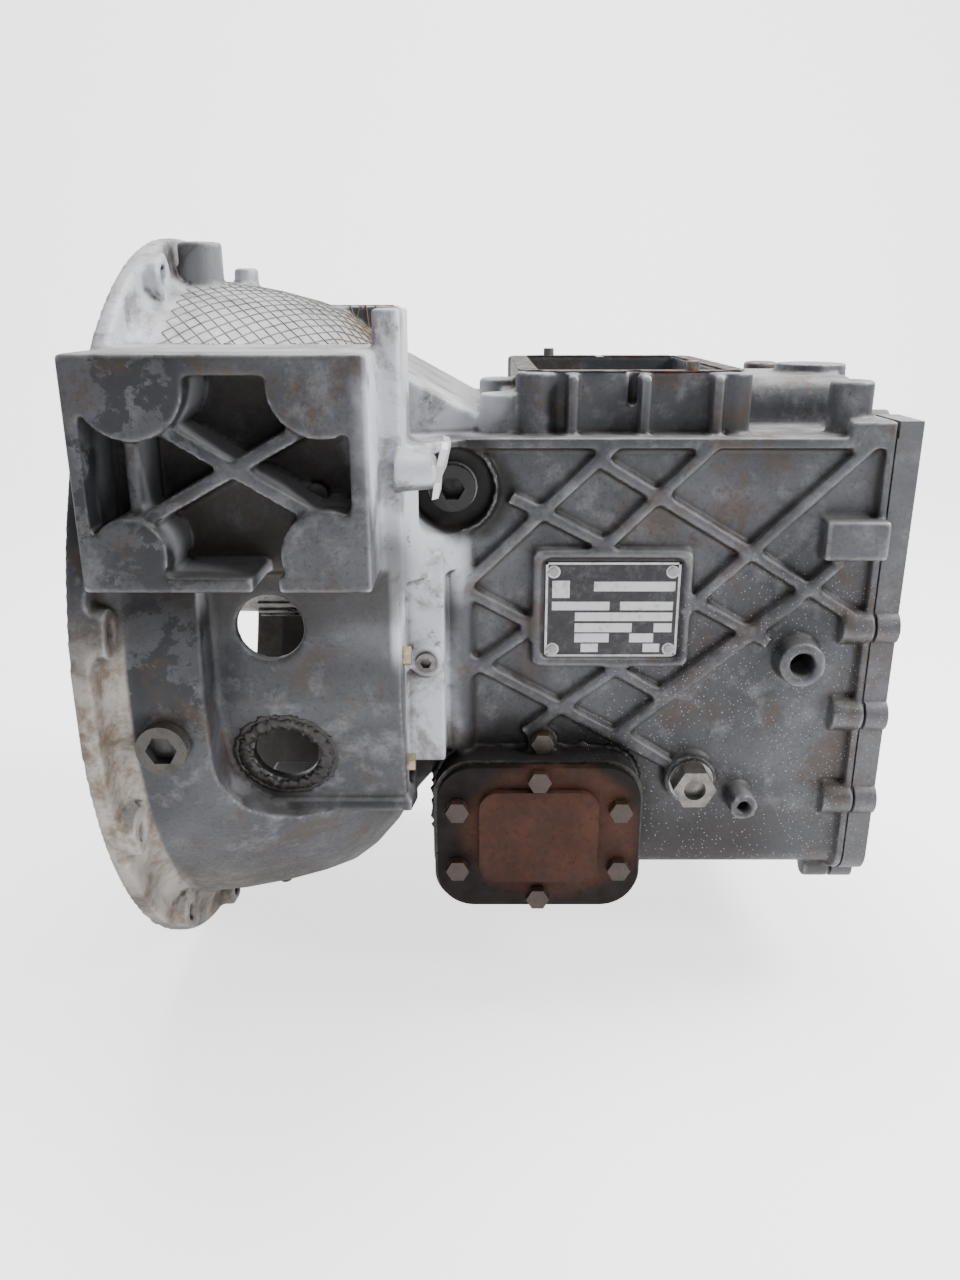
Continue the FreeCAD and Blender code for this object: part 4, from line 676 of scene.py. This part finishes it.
def floor_and_light():
    """A white paper sweep behind and under the gearbox, and soft lamps from the right and above."""
    reach, back, rise = 5.0, 1.8, 4.0
    corners = [(-reach, -reach, 0), (reach, -reach, 0), (reach, back, 0), (-reach, back, 0),
               (-reach, back, rise), (reach, back, rise)]
    mesh = bpy.data.meshes.new("paper_sweep")
    mesh.from_pydata(corners, [], [(0, 1, 2, 3), (3, 2, 5, 4)])
    sweep = bpy.data.objects.new("paper_sweep", mesh)
    sweep.location.z = cad_box[0][2] - 0.0005
    bpy.context.scene.collection.objects.link(sweep)
    sh = Shader("paper", roughness=0.8, specular=0.1)
    sh.surface.inputs["Emission Color"].default_value = (1, 1, 1, 1)
    seen_or_lit(sh.tree, PAPER_GLOW_SEEN, PAPER_GLOW, sh.surface.inputs["Emission Strength"])
    sweep.data.materials.append(sh.finish(sh.mix(sh.noise(3, 2), (0.88, 0.88, 0.88), (0.91, 0.91, 0.91))))
    world = bpy.data.worlds.new("studio")
    world.use_nodes = True
    world.node_tree.nodes["Background"].inputs["Color"].default_value = (0.93, 0.95, 1.0, 1)
    seen_or_lit(world.node_tree, SKY_SEEN, SKY, world.node_tree.nodes["Background"].inputs["Strength"])
    bpy.context.scene.world = world
    for name, place, aim, width, power in (
            ("key", (1.5, 0.15, 1.3), (0.2, 0, 0), 0.9, 40),
            ("side", (1.35, -0.75, 0.85), (0.2, -0.15, 0.05), 0.4, 12),
            ("top", (0.1, 0.3, 1.9), (0.2, 0, 0), 1.0, 42),
            ("front", (0.7, -2.0, 0.9), (0.25, 0, -0.05), 1.2, 3)):
        data = bpy.data.lights.new(name, "AREA")
        data.shape = "DISK"
        data.size = width
        data.energy = power
        lamp = bpy.data.objects.new(name, data)
        lamp.location = place
        lamp.rotation_euler = (Vector(aim) - Vector(place)).to_track_quat("-Z", "Y").to_euler()
        bpy.context.scene.collection.objects.link(lamp)


# ---------------------------------------------------------------- the scene

make_camera()
floor_and_light()

casting = cast_aluminium()
rear_casting = cast_aluminium("rear_casting", dense=False, grey=0.25)
bolt_steel = plain_metal("bolt_steel", (0.085, 0.066, 0.055), (0.022, 0.015, 0.011), 0.5, 0.3)
dull_plug = plain_metal("dull_plug", (0.085, 0.078, 0.070), (0.025, 0.019, 0.015), 0.5, 0.3)
rusty_bolt = plain_metal("rusty_bolt", (0.050, 0.028, 0.018), (0.016, 0.010, 0.008), 0.6, 0.1)
plug_steel = plain_metal("plug_steel", (0.22, 0.205, 0.19), (0.04, 0.03, 0.022), 0.4, 0.6)
oily_plug = plain_metal("oily_plug", (0.022, 0.020, 0.019), (0.008, 0.007, 0.006), 0.6, 0.1)
gear_steel = plain_metal("gear_steel", (0.42, 0.41, 0.40), (0.09, 0.06, 0.035), 0.28, 1.0, 0.35)
ground_steel = plain_metal("ground_steel", (0.62, 0.62, 0.62), (0.2, 0.16, 0.12), 0.2, 1.0, 0.3)
brass = plain_metal("brass_plating", (0.40, 0.33, 0.22), (0.16, 0.12, 0.07), 0.35, 0.6, 0.4)
bronze = plain_metal("bronze", (0.62, 0.40, 0.16), (0.22, 0.12, 0.05), 0.3, 1.0, 0.3)
cast_iron = plain_metal("cast_iron", (0.13, 0.125, 0.12), (0.05, 0.035, 0.025), 0.6, 0.5)
rivet_metal = plain_metal("rivet_metal", (0.30, 0.30, 0.30), (0.1, 0.1, 0.1), 0.3, 0.8, 0.3)
gasket_black = oily_rubber("gasket_black")
plate_black = oily_rubber("plate_black", (0.016, 0.016, 0.018))
sealant = oily_rubber("old_sealant", (0.012, 0.010, 0.009))
gasket_rim = patchy_gasket()
seal_rubber = oily_rubber("seal_rubber", (0.012, 0.012, 0.012))
rust = rusted_cover()

finishes = {
    "cast_aluminium": casting,
    "rear_casting": rear_casting,
    "gasket_paper": gasket_black,
    "gasket_red": gasket_rim,
    "bolt_steel": bolt_steel,
    "rusted_steel": rust,
    "plate_paint": plate_black,
    "rivet_aluminium": rivet_metal,
    "plug_steel": plug_steel,
    "washer_aluminium": rivet_metal,
    "brass": brass,
    "iron_casting": cast_iron,
    "seal_rubber": seal_rubber,
    "bearing_steel": ground_steel,
    "gear_steel": gear_steel,
    "bronze": bronze,
}
own_finish = {
    "oil_level_plug": oily_plug,
    "rear_cover_gasket": rear_casting,
    "pto_cover_bolts": rusty_bolt,
    "bell_socket_plug": dull_plug,
}
# width of the softened edges, in millimetres
soft_edged = {
    "pto_cover": 1.6,
    "rear_cover": 1.5,
    "input_retainer": 0.8,
    "bell_socket_plug": 0.7,
    "oil_drain_plug": 0.6,
    "oil_level_plug": 0.5,
    "pto_cover_bolts": 0.5,
    "rear_cover_bolts": 0.5,
    "side_screw_plug": 0.5,
    "fork_housing_bolts": 0.4,
    "name_plate_rivets": 0.4,
    "retainer_bolts": 0.4,
}
for part in frame["record"]["subparts"]:
    name = part["node"]
    if name != "main_housing":
        finish = own_finish.get(name, finishes[part["material_slot"]])
        dress(name, finish, soft_edged.get(name, 0) * MM)

soft_casting("main_housing", "housing_casting", casting, 1.8 * MM, 3, 190_000)
dome_lattice(lattice_metal())
plate_fields(printed_silver())
window_sealant(sealant)
pad_sealant(sealant)
torn_lug(plain_metal("torn_metal", (0.75, 0.75, 0.76), (0.4, 0.38, 0.36), 0.4, 0.3, 0.3))
